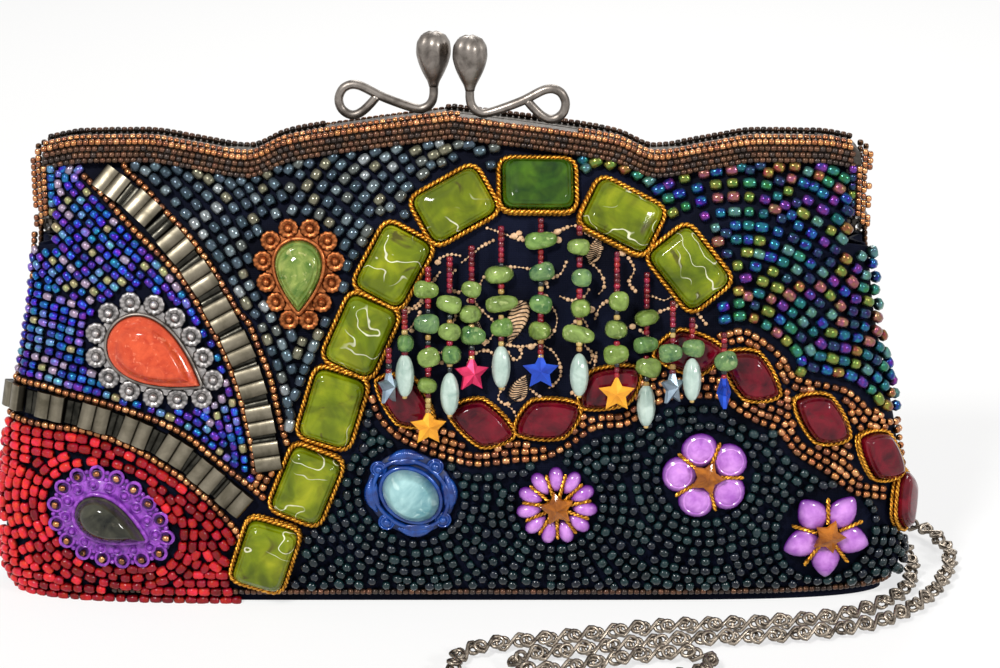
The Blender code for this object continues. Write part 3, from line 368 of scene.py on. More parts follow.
def cloth_frame(u, z, heading, lift):
    """A matrix on the front cloth: X along the heading, Z out of the cloth."""
    small = 0.0005
    right = cloth_point(u + small, z) - cloth_point(u - small, z)
    up = cloth_point(u, z + small) - cloth_point(u, z - small)
    out = right.cross(up).normalized()
    along = (right * heading.x + up * heading.y).normalized()
    frame = axes(along, out.cross(along), out)
    frame.translation = cloth_point(u, z) + out * lift
    return frame


def on_cloth(pixel):
    """The place on the front cloth under a pixel, pushed out where the pixel lies beside the bag."""
    right = (pixel[0] - PHOTO_MIDDLE[0]) / FOCAL_PIXELS
    up = (PHOTO_MIDDLE[1] - pixel[1]) / FOCAL_PIXELS
    sine, cosine = math.sin(CAMERA_TILT), math.cos(CAMERA_TILT)
    way = Vector((right, up * cosine + sine, up * sine - cosine))
    y = -BODY_HALF_DEPTH
    for _ in range(18):
        point = CAMERA_PLACE + way * ((y - CAMERA_PLACE.y) / way.y)
        z = min(max(point.z, 0), BODY_HEIGHT + 2 * WAVE_RISE)
        limit = half_width(z)
        x = min(max(point.x, -limit), limit)
        y = (y - face_depth(x, z)) / 2
    u = unrolled(x, z)
    return Vector((u + math.copysign(0.01, u) if abs(point.x) > limit * 0.998 else u, z))


def face_matrix(across_share, height_share, turn=0):
    """A place on the front face: X along the turn in the face, Z straight out of it."""
    z = height_share * BODY_HEIGHT
    across = math.asin(across_share) * 2 / math.pi
    small = FABRIC / BODY_HALF_WIDTH
    right = face_point(across + small, z) - face_point(across - small, z)
    up = face_point(across, z + FABRIC) - face_point(across, z - FABRIC)
    out = right.cross(up).normalized()
    right.normalize()
    frame = Matrix.Translation(face_point(across, z)) @ axes(right, out.cross(right), out)
    return frame @ Matrix.Rotation(math.radians(turn), 4, "Z")


def seat(matrix, length, width):
    """The matrix raised until a flat back of that size clears the face under all of it."""
    steps = 6
    lift = 0
    for i in range(steps + 1):
        for j in range(steps + 1):
            point = matrix @ Vector(((i / steps - 1 / 2) * length, (j / steps - 1 / 2) * width, 0))
            limit = half_width(point.z)
            x = min(max(point.x, -limit), limit)
            lift = max(lift, (matrix.inverted() @ Vector((x, -face_depth(x, point.z), point.z))).z)
    return matrix @ Matrix.Translation((0, 0, lift + FABRIC / 2 + SEAT))


def ornament_frame(place, turn, length, width):
    return seat(face_matrix(*place, turn), length, width)


# Outlines


def rounded_outline(corners, radius, steps=6):
    """A polygon with rounded corners, counter-clockwise."""
    points = []
    for k, corner in enumerate(corners):
        corner = Vector(corner)
        before = (Vector(corners[k - 1]) - corner).normalized() * radius
        after = (Vector(corners[(k + 1) % len(corners)]) - corner).normalized() * radius
        for step in range(steps + 1):
            t = step / steps
            points.append(corner + before * (1 - t) ** 2 + after * t ** 2)
    return points


def tip_outline(length, width, pointed, count=48):
    """An oval, drawn to a tip at +X where it is pointed."""
    points = []
    for k in range(count):
        turn = 2 * math.pi * k / count
        x, y = math.cos(turn), math.sin(turn)
        if pointed:
            y *= ((1 - x) / 2) ** 0.5 / 0.77
        points.append(Vector((x * length / 2, y * width / 2)))
    return points


def lobed_outline(length, width, lobes=8, depth=0.03, steps=8):
    """An oval with round lobes."""
    count = lobes * steps
    points = []
    for k in range(count):
        turn = 2 * math.pi * k / count
        lobe = 1 - depth * (1 - abs(math.sin(lobes * turn / 2)))
        points.append(Vector((math.cos(turn) * length / 2 * lobe, math.sin(turn) * width / 2 * lobe)))
    return points


def green_outline(extra=0):
    a, b = GREEN_SIZE[0] / 2 + extra, GREEN_SIZE[1] / 2 + extra
    return rounded_outline(((-a, -b), (a, -b), (a, b), (-a, b)), 0.22 * GREEN_SIZE[1] + extra)


def red_outline(extra=0, count=56, power=1.4):
    a, b = RED_SIZE[0] / 2 + extra * 1.15, RED_SIZE[1] / 2 + extra
    skew = 0.1 * RED_SIZE[0]
    points = []
    for k in range(count):
        turn = 2 * math.pi * k / count
        x, y = math.cos(turn), math.sin(turn)
        rise = math.copysign(abs(y) ** (2 / power), y)
        points.append(Vector((math.copysign(abs(x) ** (2 / power), x) * a - rise * skew, rise * b)))
    return points


def around(outline, offset, count, rise):
    """Evenly spaced spots outside an outline, and the turn outwards at each."""
    size = len(outline)
    loop = []
    for k in range(size + 1):
        way = outline[(k + 1) % size] - outline[(k - 1) % size]
        spot = outline[k % size] + Vector((way.y, -way.x)).normalized() * offset
        loop.append(Vector((*spot, rise)))
    length = sum((b - a).length for a, b in zip(loop, loop[1:]))
    spots = evenly(loop, length / count / 2.0001)[1::2][:count]
    turns = []
    for k, spot in enumerate(spots):
        way = spots[(k + 1) % len(spots)] - spots[k - 1]
        turns.append(math.atan2(-way.x, way.y))
    return list(zip(spots, turns))


# Shapes: small meshes that pieces are gathered from


def set_depth(shape, values):
    shape.attributes["depth"].data.foreach_set("value", list(values))
    return shape


def shape_from(bm, name):
    bmesh.ops.remove_doubles(bm, verts=bm.verts, dist=0.000001)
    bmesh.ops.recalc_face_normals(bm, faces=bm.faces)
    mesh = bpy.data.meshes.new(name)
    bm.to_mesh(mesh)
    bm.free()
    mesh.shade_smooth()
    for attribute in ("tone", "depth"):
        mesh.attributes.new(attribute, "FLOAT", "POINT")
    return set_depth(mesh, [1.0] * len(mesh.vertices))


def paint_shade(shape, low, high, core=0.1):
    """Painted shade in the depth attribute: the shape darkened downwards, where it meets the cloth, and along
    its core.
    """
    return set_depth(shape, [min(max((vertex.co.z - low) / (high - low), 0), 1)
                             if math.hypot(vertex.co.y, vertex.co.z) > core else 0
                             for vertex in shape.vertices])


def turned_shape(name, profile, steps=8):
    """A profile of radius and height, spun about Z."""
    bm = bmesh.new()
    points = [bm.verts.new((radius, 0, height)) for radius, height in profile]
    edges = [bm.edges.new(pair) for pair in zip(points, points[1:])]
    return spun_shape(bm, name, points + edges, steps)


def spun_shape(bm, name, geom, steps):
    bmesh.ops.spin(bm, geom=geom, cent=(0, 0, 0), axis=(0, 0, 1), dvec=(0, 0, 0),
                   angle=2 * math.pi, steps=steps, use_merge=True, use_duplicate=False)
    return shape_from(bm, name)


def ball_shape(name, columns=8, rows=5, place=None):
    """A ball, with its points moved by place where it is given."""
    bm = bmesh.new()
    bmesh.ops.create_uvsphere(bm, u_segments=columns, v_segments=rows, radius=1)
    for vertex in bm.verts if place else ():
        vertex.co = place(*vertex.co)
    return shape_from(bm, name)


def extruded(bm, face):
    """The new corners of a face, extruded but not yet moved, and the new face."""
    made = bmesh.ops.extrude_face_region(bm, geom=[face])["geom"]
    corners = [part for part in made if isinstance(part, bmesh.types.BMVert)]
    return corners, next(part for part in made if isinstance(part, bmesh.types.BMFace))


def domed_shape(name, outline, height, profile):
    """A stone from its outline, drawn in as it rises and closed over the top."""
    bm = bmesh.new()
    face = bm.faces.new([bm.verts.new((*point, 0)) for point in outline])
    inset, rise = 0, 0
    for next_inset, next_rise in profile:
        corners, face = extruded(bm, face)
        scale = (1 - next_inset) / (1 - inset)
        bmesh.ops.scale(bm, vec=(scale, scale, 1), verts=corners)
        bmesh.ops.translate(bm, vec=(0, 0, height * (next_rise - rise)), verts=corners)
        inset, rise = next_inset, next_rise
    bmesh.ops.poke(bm, faces=[face])
    return shape_from(bm, name)


def petal_shape(name, length, width, height, narrowing):
    """A petal that starts at the origin and lies along X."""
    underside = 0.35
    bm = bmesh.new()
    bmesh.ops.create_uvsphere(bm, u_segments=18, v_segments=10, radius=1)
    bmesh.ops.rotate(bm, matrix=Matrix.Rotation(math.pi / 2, 3, "Y"), verts=bm.verts)
    for vertex in bm.verts:
        x, y, z = vertex.co
        y *= 1 - narrowing * x - (0.25 * max(x, 0) ** 3 if narrowing > 0.1 else 0)
        vertex.co = ((x + 1) * length / 2, y * width / 2, (z if z > 0 else z * underside) * height)
    shape = shape_from(bm, name)
    return set_depth(shape, [min(max(vertex.co.z / height, 0), 1) ** 1.3 for vertex in shape.vertices])


def star_shape(name, radius, thickness, waist):
    """A five-pointed star in XY with ridged faces."""
    rim_share = 0.12
    bm = bmesh.new()
    bmesh.ops.create_circle(bm, cap_ends=True, segments=10, radius=radius)
    rim = list(bm.verts)
    for vertex in rim:
        turn = math.atan2(vertex.co.y, vertex.co.x) - math.pi / 2
        if round(turn / (math.pi / 5)) % 2:
            bmesh.ops.scale(bm, vec=(waist, waist, 1), verts=[vertex])
    top, _ = extruded(bm, bm.faces[:][0])
    bmesh.ops.translate(bm, vec=(0, 0, thickness * rim_share), verts=top)
    bmesh.ops.translate(bm, vec=(0, 0, -thickness * rim_share), verts=rim)
    for flat in [part for part in bm.faces[:] if len(part.verts) == 10]:
        up = 1 if flat.calc_center_median().z > 0 else -1
        centre = bmesh.ops.poke(bm, faces=[flat])["verts"]
        bmesh.ops.translate(bm, vec=(0, 0, up * thickness * (0.5 - rim_share)), verts=centre)
    mesh = shape_from(bm, name)
    mesh.shade_flat()
    return mesh


def barrel_tile_shape(name, length, width, height):
    """A tile with two round ribs that run across it."""
    groove, steps = 0.72, 7
    outline = [(-length / 2, 0)]
    for rib in (-1, 1):
        for k in range(steps + 1):
            turn = math.pi * (1 - k / steps)
            outline.append((rib * length / 4 + math.cos(turn) * length * 0.247,
                            height * (groove + (1 - groove) * math.sin(turn))))
    bm = bmesh.new()
    face = bm.faces.new([bm.verts.new((x, -width / 2, z)) for x, z in outline + [(length / 2, 0)]])
    bmesh.ops.translate(bm, vec=(0, width, 0), verts=extruded(bm, face)[0])
    shape = shape_from(bm, name)
    # Painted shade: dark grooves, and rib flanks darker than the rib tops
    return set_depth(shape, [0 if vertex.co.z < height * (groove + 0.01)
                             else 0.7 if abs(abs(vertex.co.x) - length / 4) > length * 0.14 else 1
                             for vertex in shape.vertices])


def ring_shape(name, radius, wire, steps=16, sides=6):
    """A round ring in XY."""
    bm = bmesh.new()
    turn = Matrix.Translation((radius, 0, 0)) @ Matrix.Rotation(math.pi / 2, 4, "X")
    bmesh.ops.create_circle(bm, cap_ends=False, segments=sides, radius=wire, matrix=turn)
    return spun_shape(bm, name, bm.verts[:] + bm.edges[:], steps)


def tube_shape(name, lines, radius, resolution=1):
    """Round tubes along lines, each a list of points and whether it closes."""
    curve = bpy.data.curves.new(name, "CURVE")
    curve.dimensions = "3D"
    curve.bevel_depth = radius
    curve.bevel_resolution = resolution
    curve.use_fill_caps = True
    for points, closed in lines:
        spline = curve.splines.new("POLY")
        spline.points.add(len(points) - 1)
        for point, place in zip(spline.points, points):
            point.co = (*place, 1)
        spline.use_cyclic_u = closed
    guide = bpy.data.objects.new(name, curve)
    bpy.context.scene.collection.objects.link(guide)
    bpy.context.view_layer.update()
    graph = bpy.context.evaluated_depsgraph_get()
    made = bpy.data.meshes.new_from_object(guide.evaluated_get(graph))
    bpy.data.objects.remove(guide)
    bpy.data.curves.remove(curve)
    bm = bmesh.new()
    bm.from_mesh(made)
    bpy.data.meshes.remove(made)
    return shape_from(bm, name)


def twisted_lines(points, outs, radius, closed, pitch=0.0024, plies=2):
    """The plies of a twisted cord along points."""
    count = len(points)
    length = sum((b - a).length for a, b in zip(points, points[1:]))
    turns = max(1, round(length / pitch))
    lines = []
    for ply in range(plies):
        line = []
        for k, point in enumerate(points):
            after = points[(k + 1) % count] if closed else points[min(k + 1, count - 1)]
            before = points[k - 1] if closed or k else points[0]
            side = (after - before).normalized().cross(outs[k])
            angle = 2 * math.pi * (turns * k / count + ply / plies)
            line.append(point + (side * math.cos(angle) + outs[k] * math.sin(angle)) * radius)
        lines.append((line, closed))
    return lines


class Tray:
    """One piece, gathered from copies of small shapes, each with a finish and a tone."""

    def __init__(self, name):
        self.name = name
        self.bm = bmesh.new()
        self.batches = []
        self.finishes = []
        self.count = 0

    def add(self, shape, matrix, finish, tone=None):
        copy = shape.copy()
        copy.transform(matrix)
        if finish not in self.finishes:
            self.finishes.append(finish)
        copy.polygons.foreach_set("material_index", [self.finishes.index(finish)] * len(copy.polygons))
        value = random.random() if tone is None else tone
        copy.attributes["tone"].data.foreach_set("value", [value] * len(copy.vertices))
        self.bm.from_mesh(copy)
        bpy.data.meshes.remove(copy)
        self.count += 1
        if self.count % 150 == 0:
            self.close_batch()

    def close_batch(self):
        mesh = bpy.data.meshes.new("batch")
        self.bm.to_mesh(mesh)
        self.bm.free()
        self.batches.append(mesh)
        self.bm = bmesh.new()

    def finish(self, body, slot=None, nodes=(), sharp=None):
        """The gathered piece, riding on its body."""
        self.close_batch()
        self.bm.free()
        bm = bmesh.new()
        for mesh in self.batches:
            bm.from_mesh(mesh)
            bpy.data.meshes.remove(mesh)
        mesh = bpy.data.meshes.new(self.name)
        bm.to_mesh(mesh)
        bm.free()
        for finish in self.finishes:
            mesh.materials.append(FINISHES[finish])
        if sharp:
            mesh.set_sharp_from_angle(angle=math.radians(sharp))
        return new_piece(self.name, mesh, body, nodes)


def new_piece(name, mesh, body, nodes=()):
    thing = bpy.data.objects.new(name, mesh)
    bpy.context.scene.collection.objects.link(thing)
    if body:
        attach(thing, body)
    if nodes:
        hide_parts(*nodes)
    return thing


def place_at(point, scale=1, turn=0):
    sizes = scale if isinstance(scale, tuple) else (scale, scale, scale)
    return Matrix.Translation(point) @ Matrix.Rotation(turn, 4, "Z") @ Matrix.Diagonal((*sizes, 1))


# Finishes


def add_node(tree, kind, inputs=(), **settings):
    """A node with its settings, and with its sockets set or linked."""
    made = tree.nodes.new(kind)
    for key, value in settings.items():
        setattr(made, key, value)
    for key, value in dict(inputs).items():
        if isinstance(value, bpy.types.NodeSocket):
            tree.links.new(value, made.inputs[key])
        else:
            made.inputs[key].default_value = value
    return made


class Recipe:
    """One material and its nodes, on Object coordinates."""

    def __init__(self, name, colour, roughness, values=()):
        self.material = bpy.data.materials.new(name)
        self.material.use_nodes = True
        self.tree = self.material.node_tree
        self.shader = self.tree.nodes["Principled BSDF"]
        for socket, value in {"Base Color": (*colour, 1), "Roughness": roughness, **dict(values)}.items():
            self.shader.inputs[socket].default_value = value
        self.place = self.node("ShaderNodeTexCoord").outputs["Object"]

    def node(self, kind, inputs=(), **settings):
        return add_node(self.tree, kind, inputs, **settings)

    def noise(self, scale, detail=2, distortion=0, roughness=0.5):
        return self.node("ShaderNodeTexNoise", {
            "Vector": self.place, "Scale": scale, "Detail": detail, "Distortion": distortion,
            "Roughness": roughness}).outputs["Fac"]

    def wave(self, scale, distortion, direction, detail, detail_scale):
        return self.node("ShaderNodeTexWave", {
            "Vector": self.place, "Scale": scale, "Detail": detail, "Distortion": distortion,
            "Detail Scale": detail_scale}, bands_direction=direction).outputs["Fac"]

    def attribute(self, name):
        return self.node("ShaderNodeAttribute", attribute_name=name).outputs["Fac"]

    def ramp(self, source, stops, constant=False):
        made = self.node("ShaderNodeValToRGB", {"Fac": source})
        ramp = made.color_ramp
        ramp.interpolation = "CONSTANT" if constant else "LINEAR"
        for element, (place, colour) in zip(ramp.elements, (stops[0], stops[-1])):
            element.position = place
            element.color = (*colour, 1)
        for place, colour in stops[1:-1]:
            ramp.elements.new(place).color = (*colour, 1)
        return made.outputs["Color"]

    def tones(self, tones):
        """One of the tones, by the piece's own tone attribute."""
        stops = [(k / len(tones), tone) for k, tone in enumerate(tones)]
        return self.ramp(self.attribute("tone"), stops, True)

    def levels(self, source, *stops):
        return self.ramp(source, [(place, (value, value, value)) for place, value in stops])

    def mix(self, factor, a, b):
        inputs = {0: factor, 6: a if isinstance(a, bpy.types.NodeSocket) else (*a, 1),
                  7: b if isinstance(b, bpy.types.NodeSocket) else (*b, 1)}
        return self.node("ShaderNodeMix", inputs, data_type="RGBA").outputs[2]

    def math(self, operation, a, b):
        return self.node("ShaderNodeMath", {0: a, 1: b}, operation=operation).outputs[0]

    def shaded(self, colour, value, hue=0.5):
        inputs = {"Hue": hue, "Value": value, "Color": colour}
        return self.node("ShaderNodeHueSaturation", inputs).outputs["Color"]

    def finish(self, colour, roughness, bump, distance, strength):
        """The material, with what is given linked to its shader."""
        links = {"Base Color": colour, "Roughness": roughness}
        if bump is not None:
            made = self.node("ShaderNodeBump", {"Height": bump, "Distance": distance, "Strength": strength})
            links["Normal"] = made.outputs["Normal"]
        for socket, source in links.items():
            if source is not None:
                self.tree.links.new(source, self.shader.inputs[socket])
        return self.material


def bead_finish(name, tones, roughness, metallic, drift=0.05, coat=0.12):
    """Glass beads: each takes one of the tones, under a film that drifts over it, with painted shade below
    and a painted highlight on top.
    """
    recipe = Recipe(name, tones[0], roughness, {"Metallic": metallic, "Coat Weight": coat,
                                                "Coat Roughness": 0.05, "Specular IOR Level": 0.2})
    plain = recipe.tones(tones)
    film = recipe.levels(recipe.noise(650, 3), (0.3, 0.5 - drift), (0.7, 0.5 + drift))
    cloud = recipe.levels(recipe.noise(420, 2), (0.3, 0.75), (0.7, 1.25))
    # Painted shade and highlight: the depth attribute darkens the underside and hole ends and brightens the
    # top above the tone
    painted_shade_and_highlight = recipe.levels(recipe.attribute("depth"), (0.0, 0.03), (0.5, 0.35), (0.85, 1.25))
    drifted = recipe.shaded(plain, recipe.math("MULTIPLY", cloud, painted_shade_and_highlight), film)
    rough = recipe.levels(recipe.noise(900, 2), (0.3, roughness * 0.8), (0.7, roughness * 1.5))
    return recipe.finish(drifted, rough, None, 0, 0)


def metal_finish(name, dark, light, roughness, scale=420, bump=0.00008, painted_shade_low=None):
    """Aged metal, rubbed lighter in patches; where a low value is given, painted shade darkens it where its
    depth attribute is low.
    """
    recipe = Recipe(name, light, roughness, {"Metallic": 1.0})
    patina = recipe.noise(scale, 5, 0.4, 0.6)
    wear_and_painted_shade = recipe.ramp(patina, [(0.33, dark), (0.62, light)])
    # Painted shade: hollows and undersides darkened by the depth attribute, down to the given level
    if painted_shade_low is not None:
        wear_and_painted_shade = recipe.shaded(wear_and_painted_shade, recipe.levels(recipe.attribute("depth"), (0.0, painted_shade_low), (1.0, 1.0)))
    rough = recipe.levels(patina, (0.3, min(roughness * 1.6, 1)), (0.7, roughness * 0.8))
    return recipe.finish(wear_and_painted_shade, rough, recipe.noise(scale * 4, 3), bump, 0.5)


def enamel_finish(name, dark, light, roughness, coat=0.3, scale=260, metallic=0.0, rim=None):
    """Painted or satin glass, with a deeper colour down its rim where one is given."""
    recipe = Recipe(name, light, roughness, {"Coat Weight": coat, "Coat Roughness": 0.08,
                                             "Metallic": metallic, "Specular IOR Level": 0.3})
    painted = recipe.ramp(recipe.noise(scale, 4, 0.3), [(0.32, dark), (0.66, light)])
    if rim:
        painted = recipe.mix(recipe.levels(recipe.attribute("depth"), (0.12, 0), (0.85, 1)), rim, painted)
    rough = recipe.levels(recipe.noise(scale * 3, 2), (0.3, roughness), (0.7, roughness * 1.6))
    return recipe.finish(painted, rough, recipe.noise(scale * 6, 2), 0.00004, 0.4)


def green_glass(name):
    """Olive glass: cloudy streaks, white squiggles and a few brown patches."""
    recipe = Recipe(name, (0.3, 0.4, 0.02), 0.1, {"Coat Weight": 0.12, "Coat Roughness": 0.03,
                                                  "Specular IOR Level": 0.2})
    cloud = recipe.noise(110, 4, 0.8)
    plain = recipe.ramp(cloud, [(0.28, (0.06, 0.09, 0.001)), (0.5, (0.13, 0.17, 0.002)),
                                (0.72, (0.26, 0.28, 0.008))])
    deep = recipe.ramp(recipe.noise(210, 4, 0.5), [(0.3, (0.008, 0.04, 0.001)),
                                                   (0.7, (0.05, 0.12, 0.003))])
    bands = recipe.levels(recipe.noise(90, 2, 2.0), (0.42, 0.8), (0.58, 1.15))
    thin = recipe.levels(recipe.wave(30, 22, "DIAGONAL", 2, 2.6), (0.0, 0), (0.984, 0), (0.994, 0.9))
    where = recipe.levels(recipe.noise(80, 1), (0.5, 0), (0.56, 1))
    brown = recipe.levels(recipe.noise(95, 3, 1.5), (0.64, 0), (0.71, 0.8))
    spotted = recipe.mix(brown, plain, (0.05, 0.036, 0.006))
    veined = recipe.mix(recipe.math("MULTIPLY", thin, where), spotted, (0.7, 0.7, 0.5))
    toned = recipe.mix(recipe.attribute("tone"), veined, deep)
    return recipe.finish(recipe.shaded(toned, bands), None, recipe.noise(200, 2), 0.00012, 0.3)


def glass_finish(name, dark, light, scale, roughness=0.07, transmission=0.0, extra=None, tones=None):
    """Glass or polished stone with a cloudy inside."""
    recipe = Recipe(name, light, roughness, {"Coat Weight": 0.3, "Coat Roughness": 0.03,
                                             "Specular IOR Level": 0.15,
                                             "Transmission Weight": transmission, "IOR": 1.45})
    made = recipe.ramp(recipe.noise(scale, 5, 0.7, 0.6), [(0.3, dark), (0.68, light)])
    if extra:
        spots = recipe.levels(recipe.noise(scale * 2.4, 3, 0.5), (0.6, 0), (0.7, 0.7))
        made = recipe.mix(spots, made, extra)
    if tones:
        made = recipe.mix(0.42, made, recipe.tones(tones))
    return recipe.finish(made, None, recipe.noise(scale * 1.6, 2), 0.00025, 0.3)


def cloth_finish(name, dark, light, roughness=0.6, pitch=0.00045):
    """Fine woven satin."""
    recipe = Recipe(name, light, roughness, {"Specular IOR Level": 0.04})
    warp, weft = (recipe.wave(0.314 / pitch, 0.6, direction, 1, 3) for direction in "XZ")
    weave = recipe.math("MULTIPLY", warp, weft)
    shade = recipe.math("ADD", recipe.noise(60, 4), recipe.math("MULTIPLY", weave, 0.12))
    return recipe.finish(recipe.ramp(shade, [(0.35, dark), (0.75, light)]), None, weave, 0.0001, 0.5)


SILVER_TONES = ((0.06, 0.088, 0.11), (0.035, 0.052, 0.07), (0.105, 0.135, 0.15), (0.048, 0.07, 0.09),
                (0.19, 0.21, 0.22), (0.08, 0.09, 0.085), (0.028, 0.045, 0.06), (0.125, 0.12, 0.083))
IRIS_TONES = ((0.01, 0.085, 0.1), (0.12, 0.155, 0.03), (0.075, 0.02, 0.16), (0.2, 0.065, 0.06),
              (0.01, 0.035, 0.2), (0.19, 0.1, 0.03), (0.02, 0.12, 0.08), (0.01, 0.06, 0.16),
              (0.06, 0.15, 0.14), (0.01, 0.02, 0.06))
COBALT_TONES = ((0.01, 0.025, 0.3), (0.006, 0.06, 0.24), (0.045, 0.016, 0.22), (0.12, 0.09, 0.34),
                (0.01, 0.012, 0.17), (0.01, 0.08, 0.23), (0.016, 0.03, 0.36), (0.22, 0.17, 0.24),
                (0.02, 0.014, 0.18), (0.22, 0.2, 0.1), (0.07, 0.16, 0.3))
# The last red tone is a random tone and also the painted light on the red field's left side
RED_TONES = ((0.19, 0.002, 0.006), (0.12, 0.001, 0.004), (0.27, 0.004, 0.009), (0.46, 0.012, 0.018))
TEAL_TONES = ((0.002, 0.01, 0.013), (0.0015, 0.006, 0.009), (0.0045, 0.018, 0.021), (0.002, 0.005, 0.011))
COPPER_TONES = ((0.33, 0.135, 0.05), (0.24, 0.092, 0.036), (0.42, 0.195, 0.085), (0.16, 0.063, 0.032))
BROWN_TONES = ((0.06, 0.03, 0.018), (0.09, 0.042, 0.024), (0.035, 0.024, 0.02))
STRAND_TONES = ((0.13, 0.003, 0.011), (0.2, 0.006, 0.017), (0.26, 0.15, 0.04), (0.34, 0.23, 0.08),
                (0.006, 0.009, 0.01), (0.08, 0.002, 0.008))
CHIP_TONES = ((0.03, 0.17, 0.05), (0.17, 0.25, 0.02), (0.03, 0.14, 0.08), (0.09, 0.23, 0.03),
              (0.06, 0.18, 0.11), (0.2, 0.28, 0.05))
# The finishes by the function that makes them, each with its name and what the function takes
FINISH_ROWS = {
    bead_finish: {
        "silver": ("silver_lined_beads", SILVER_TONES, 0.13, 0.6, 0.02),
        "iris": ("iris_beads", IRIS_TONES, 0.13, 0.65, 0.09),
        "cobalt": ("cobalt_beads", COBALT_TONES, 0.14, 0.5, 0.06),
        "red": ("red_glass_beads", RED_TONES, 0.1, 0.0, 0.01),
        "teal": ("black_teal_beads", TEAL_TONES, 0.12, 0.0, 0.02, 0.42),
        "copper": ("copper_beads", COPPER_TONES, 0.2, 0.8, 0.01),
        "brown": ("dark_brown_beads", BROWN_TONES, 0.22, 0.5, 0.01),
        "strand": ("strand_beads", STRAND_TONES, 0.08, 0.05, 0.02, 0.6),
    },
    metal_finish: {
        "cord": ("gold_thread", (0.22, 0.085, 0.007), (0.72, 0.35, 0.045), 0.34, 900),
        "gunmetal": ("aged_gunmetal_metal", (0.085, 0.073, 0.064), (0.27, 0.24, 0.215), 0.33, 260, 0.00004),
        "bow": ("dark_bow_metal", (0.03, 0.026, 0.022), (0.11, 0.097, 0.085), 0.35, 260, 0.00004),
        # The chain, tile and daisy metals end with the darkest level of their painted shade
        "chain": ("antique_chain_metal", (0.06, 0.048, 0.038), (0.37, 0.315, 0.255), 0.3, 620, 0.00008,
            0.15),
        "tile": ("hematite_metal", (0.1, 0.088, 0.062), (0.25, 0.22, 0.165), 0.34, 130, 0.00008, 0.12),
        # Painted shade: a dark copy of the hematite for the low pieces between the tiles
        "painted_shade_tile": ("hematite_side_metal", (0.012, 0.012, 0.01), (0.05, 0.047, 0.038), 0.3, 300),
        "silver_daisy": ("silver_daisy_metal", (0.15, 0.145, 0.145), (0.5, 0.47, 0.46), 0.36, 700, 0.00008,
            0.12),
        "copper_daisy": ("copper_daisy_metal", (0.14, 0.038, 0.012), (0.5, 0.165, 0.055), 0.36, 700,
            0.00008, 0.12),
    },
    enamel_finish: {
        "violet": ("violet_enamel_coat", (0.09, 0.012, 0.2), (0.3, 0.06, 0.5), 0.32, 0.3, 700),
        # Painted shade: dark copies of the violet and blue enamel for the low plates in the settings'
        # recesses
        "violet_painted_shade": ("violet_enamel_hollow", (0.02, 0.004, 0.06), (0.07, 0.014, 0.15), 0.4, 0.1),
        "blue_enamel": ("blue_enamel_coat", (0.002, 0.014, 0.12), (0.006, 0.07, 0.34), 0.16, 0.6, 300, 0.2),
        "blue_painted_shade": ("blue_enamel_hollow", (0.001, 0.006, 0.035), (0.003, 0.02, 0.11), 0.3, 0.2),
        "petal": ("violet_pearl_glass", (0.34, 0.09, 0.48), (0.62, 0.27, 0.74), 0.14, 0.5, 330, 0.0,
            (0.1, 0.012, 0.2)),
        "silver_star": ("silver_star_satin", (0.12, 0.165, 0.215), (0.24, 0.31, 0.37), 0.28, 0.3, 260, 0.6),
        "gold_star": ("gold_star_satin", (0.7, 0.27, 0.012), (0.9, 0.42, 0.025), 0.28, 0.3, 260, 0.35),
        "pink_star": ("pink_star_satin", (0.55, 0.015, 0.08), (0.78, 0.04, 0.16), 0.28, 0.3, 260, 0.35),
        "blue_star": ("blue_star_satin", (0.006, 0.035, 0.36), (0.012, 0.075, 0.56), 0.28, 0.3, 260, 0.4),
        "lace": ("beige_lace_thread", (0.5, 0.3, 0.16), (0.82, 0.56, 0.35), 0.7, 0.0, 900),
    },
    green_glass: {
        "green": ("green_pillow_glass",),
    },
    glass_finish: {
        "amber": ("amber_glass", (0.13, 0.03, 0.003), (0.5, 0.16, 0.014), 260, 0.1),
        "red_stone": ("burgundy_marbled_glass", (0.022, 0.0005, 0.004), (0.16, 0.002, 0.012), 170, 0.07,
            0.0, (0.085, 0.009, 0.01)),
        "coral": ("coral_stone", (0.42, 0.035, 0.012), (0.62, 0.09, 0.032), 330, 0.15, 0.0,
            (0.74, 0.2, 0.11)),
        "green_drop": ("green_gold_crystal", (0.025, 0.1, 0.006), (0.28, 0.34, 0.08), 260, 0.07, 0.0,
            (0.5, 0.48, 0.2)),
        "black": ("dark_labradorite", (0.003, 0.004, 0.003), (0.055, 0.055, 0.038), 170, 0.07, 0.0,
            (0.085, 0.075, 0.055)),
        "blue": ("pale_blue_crystal", (0.09, 0.24, 0.28), (0.44, 0.68, 0.68), 90, 0.04, 0.0,
            (0.6, 0.8, 0.78)),
        "chip": ("green_chip_glass", (0.004, 0.03, 0.008), (0.34, 0.5, 0.14), 330, 0.03, 0.15,
            (0.6, 0.68, 0.3), CHIP_TONES),
        "drop": ("pale_aqua_glass", (0.3, 0.42, 0.37), (0.54, 0.66, 0.6), 300, 0.16, 0.1),
    },
    cloth_finish: {
        "cloth": ("navy_satin_cloth", (0.0012, 0.0016, 0.005), (0.005, 0.007, 0.02)),
        "lining": ("black_lining_cloth", (0.004, 0.004, 0.005), (0.016, 0.016, 0.02)),
    },
}

FINISHES = {}
SHAPES = {}
ORNAMENTS = []
SETTINGS = []
SOWN = {}
CELL = 0.004


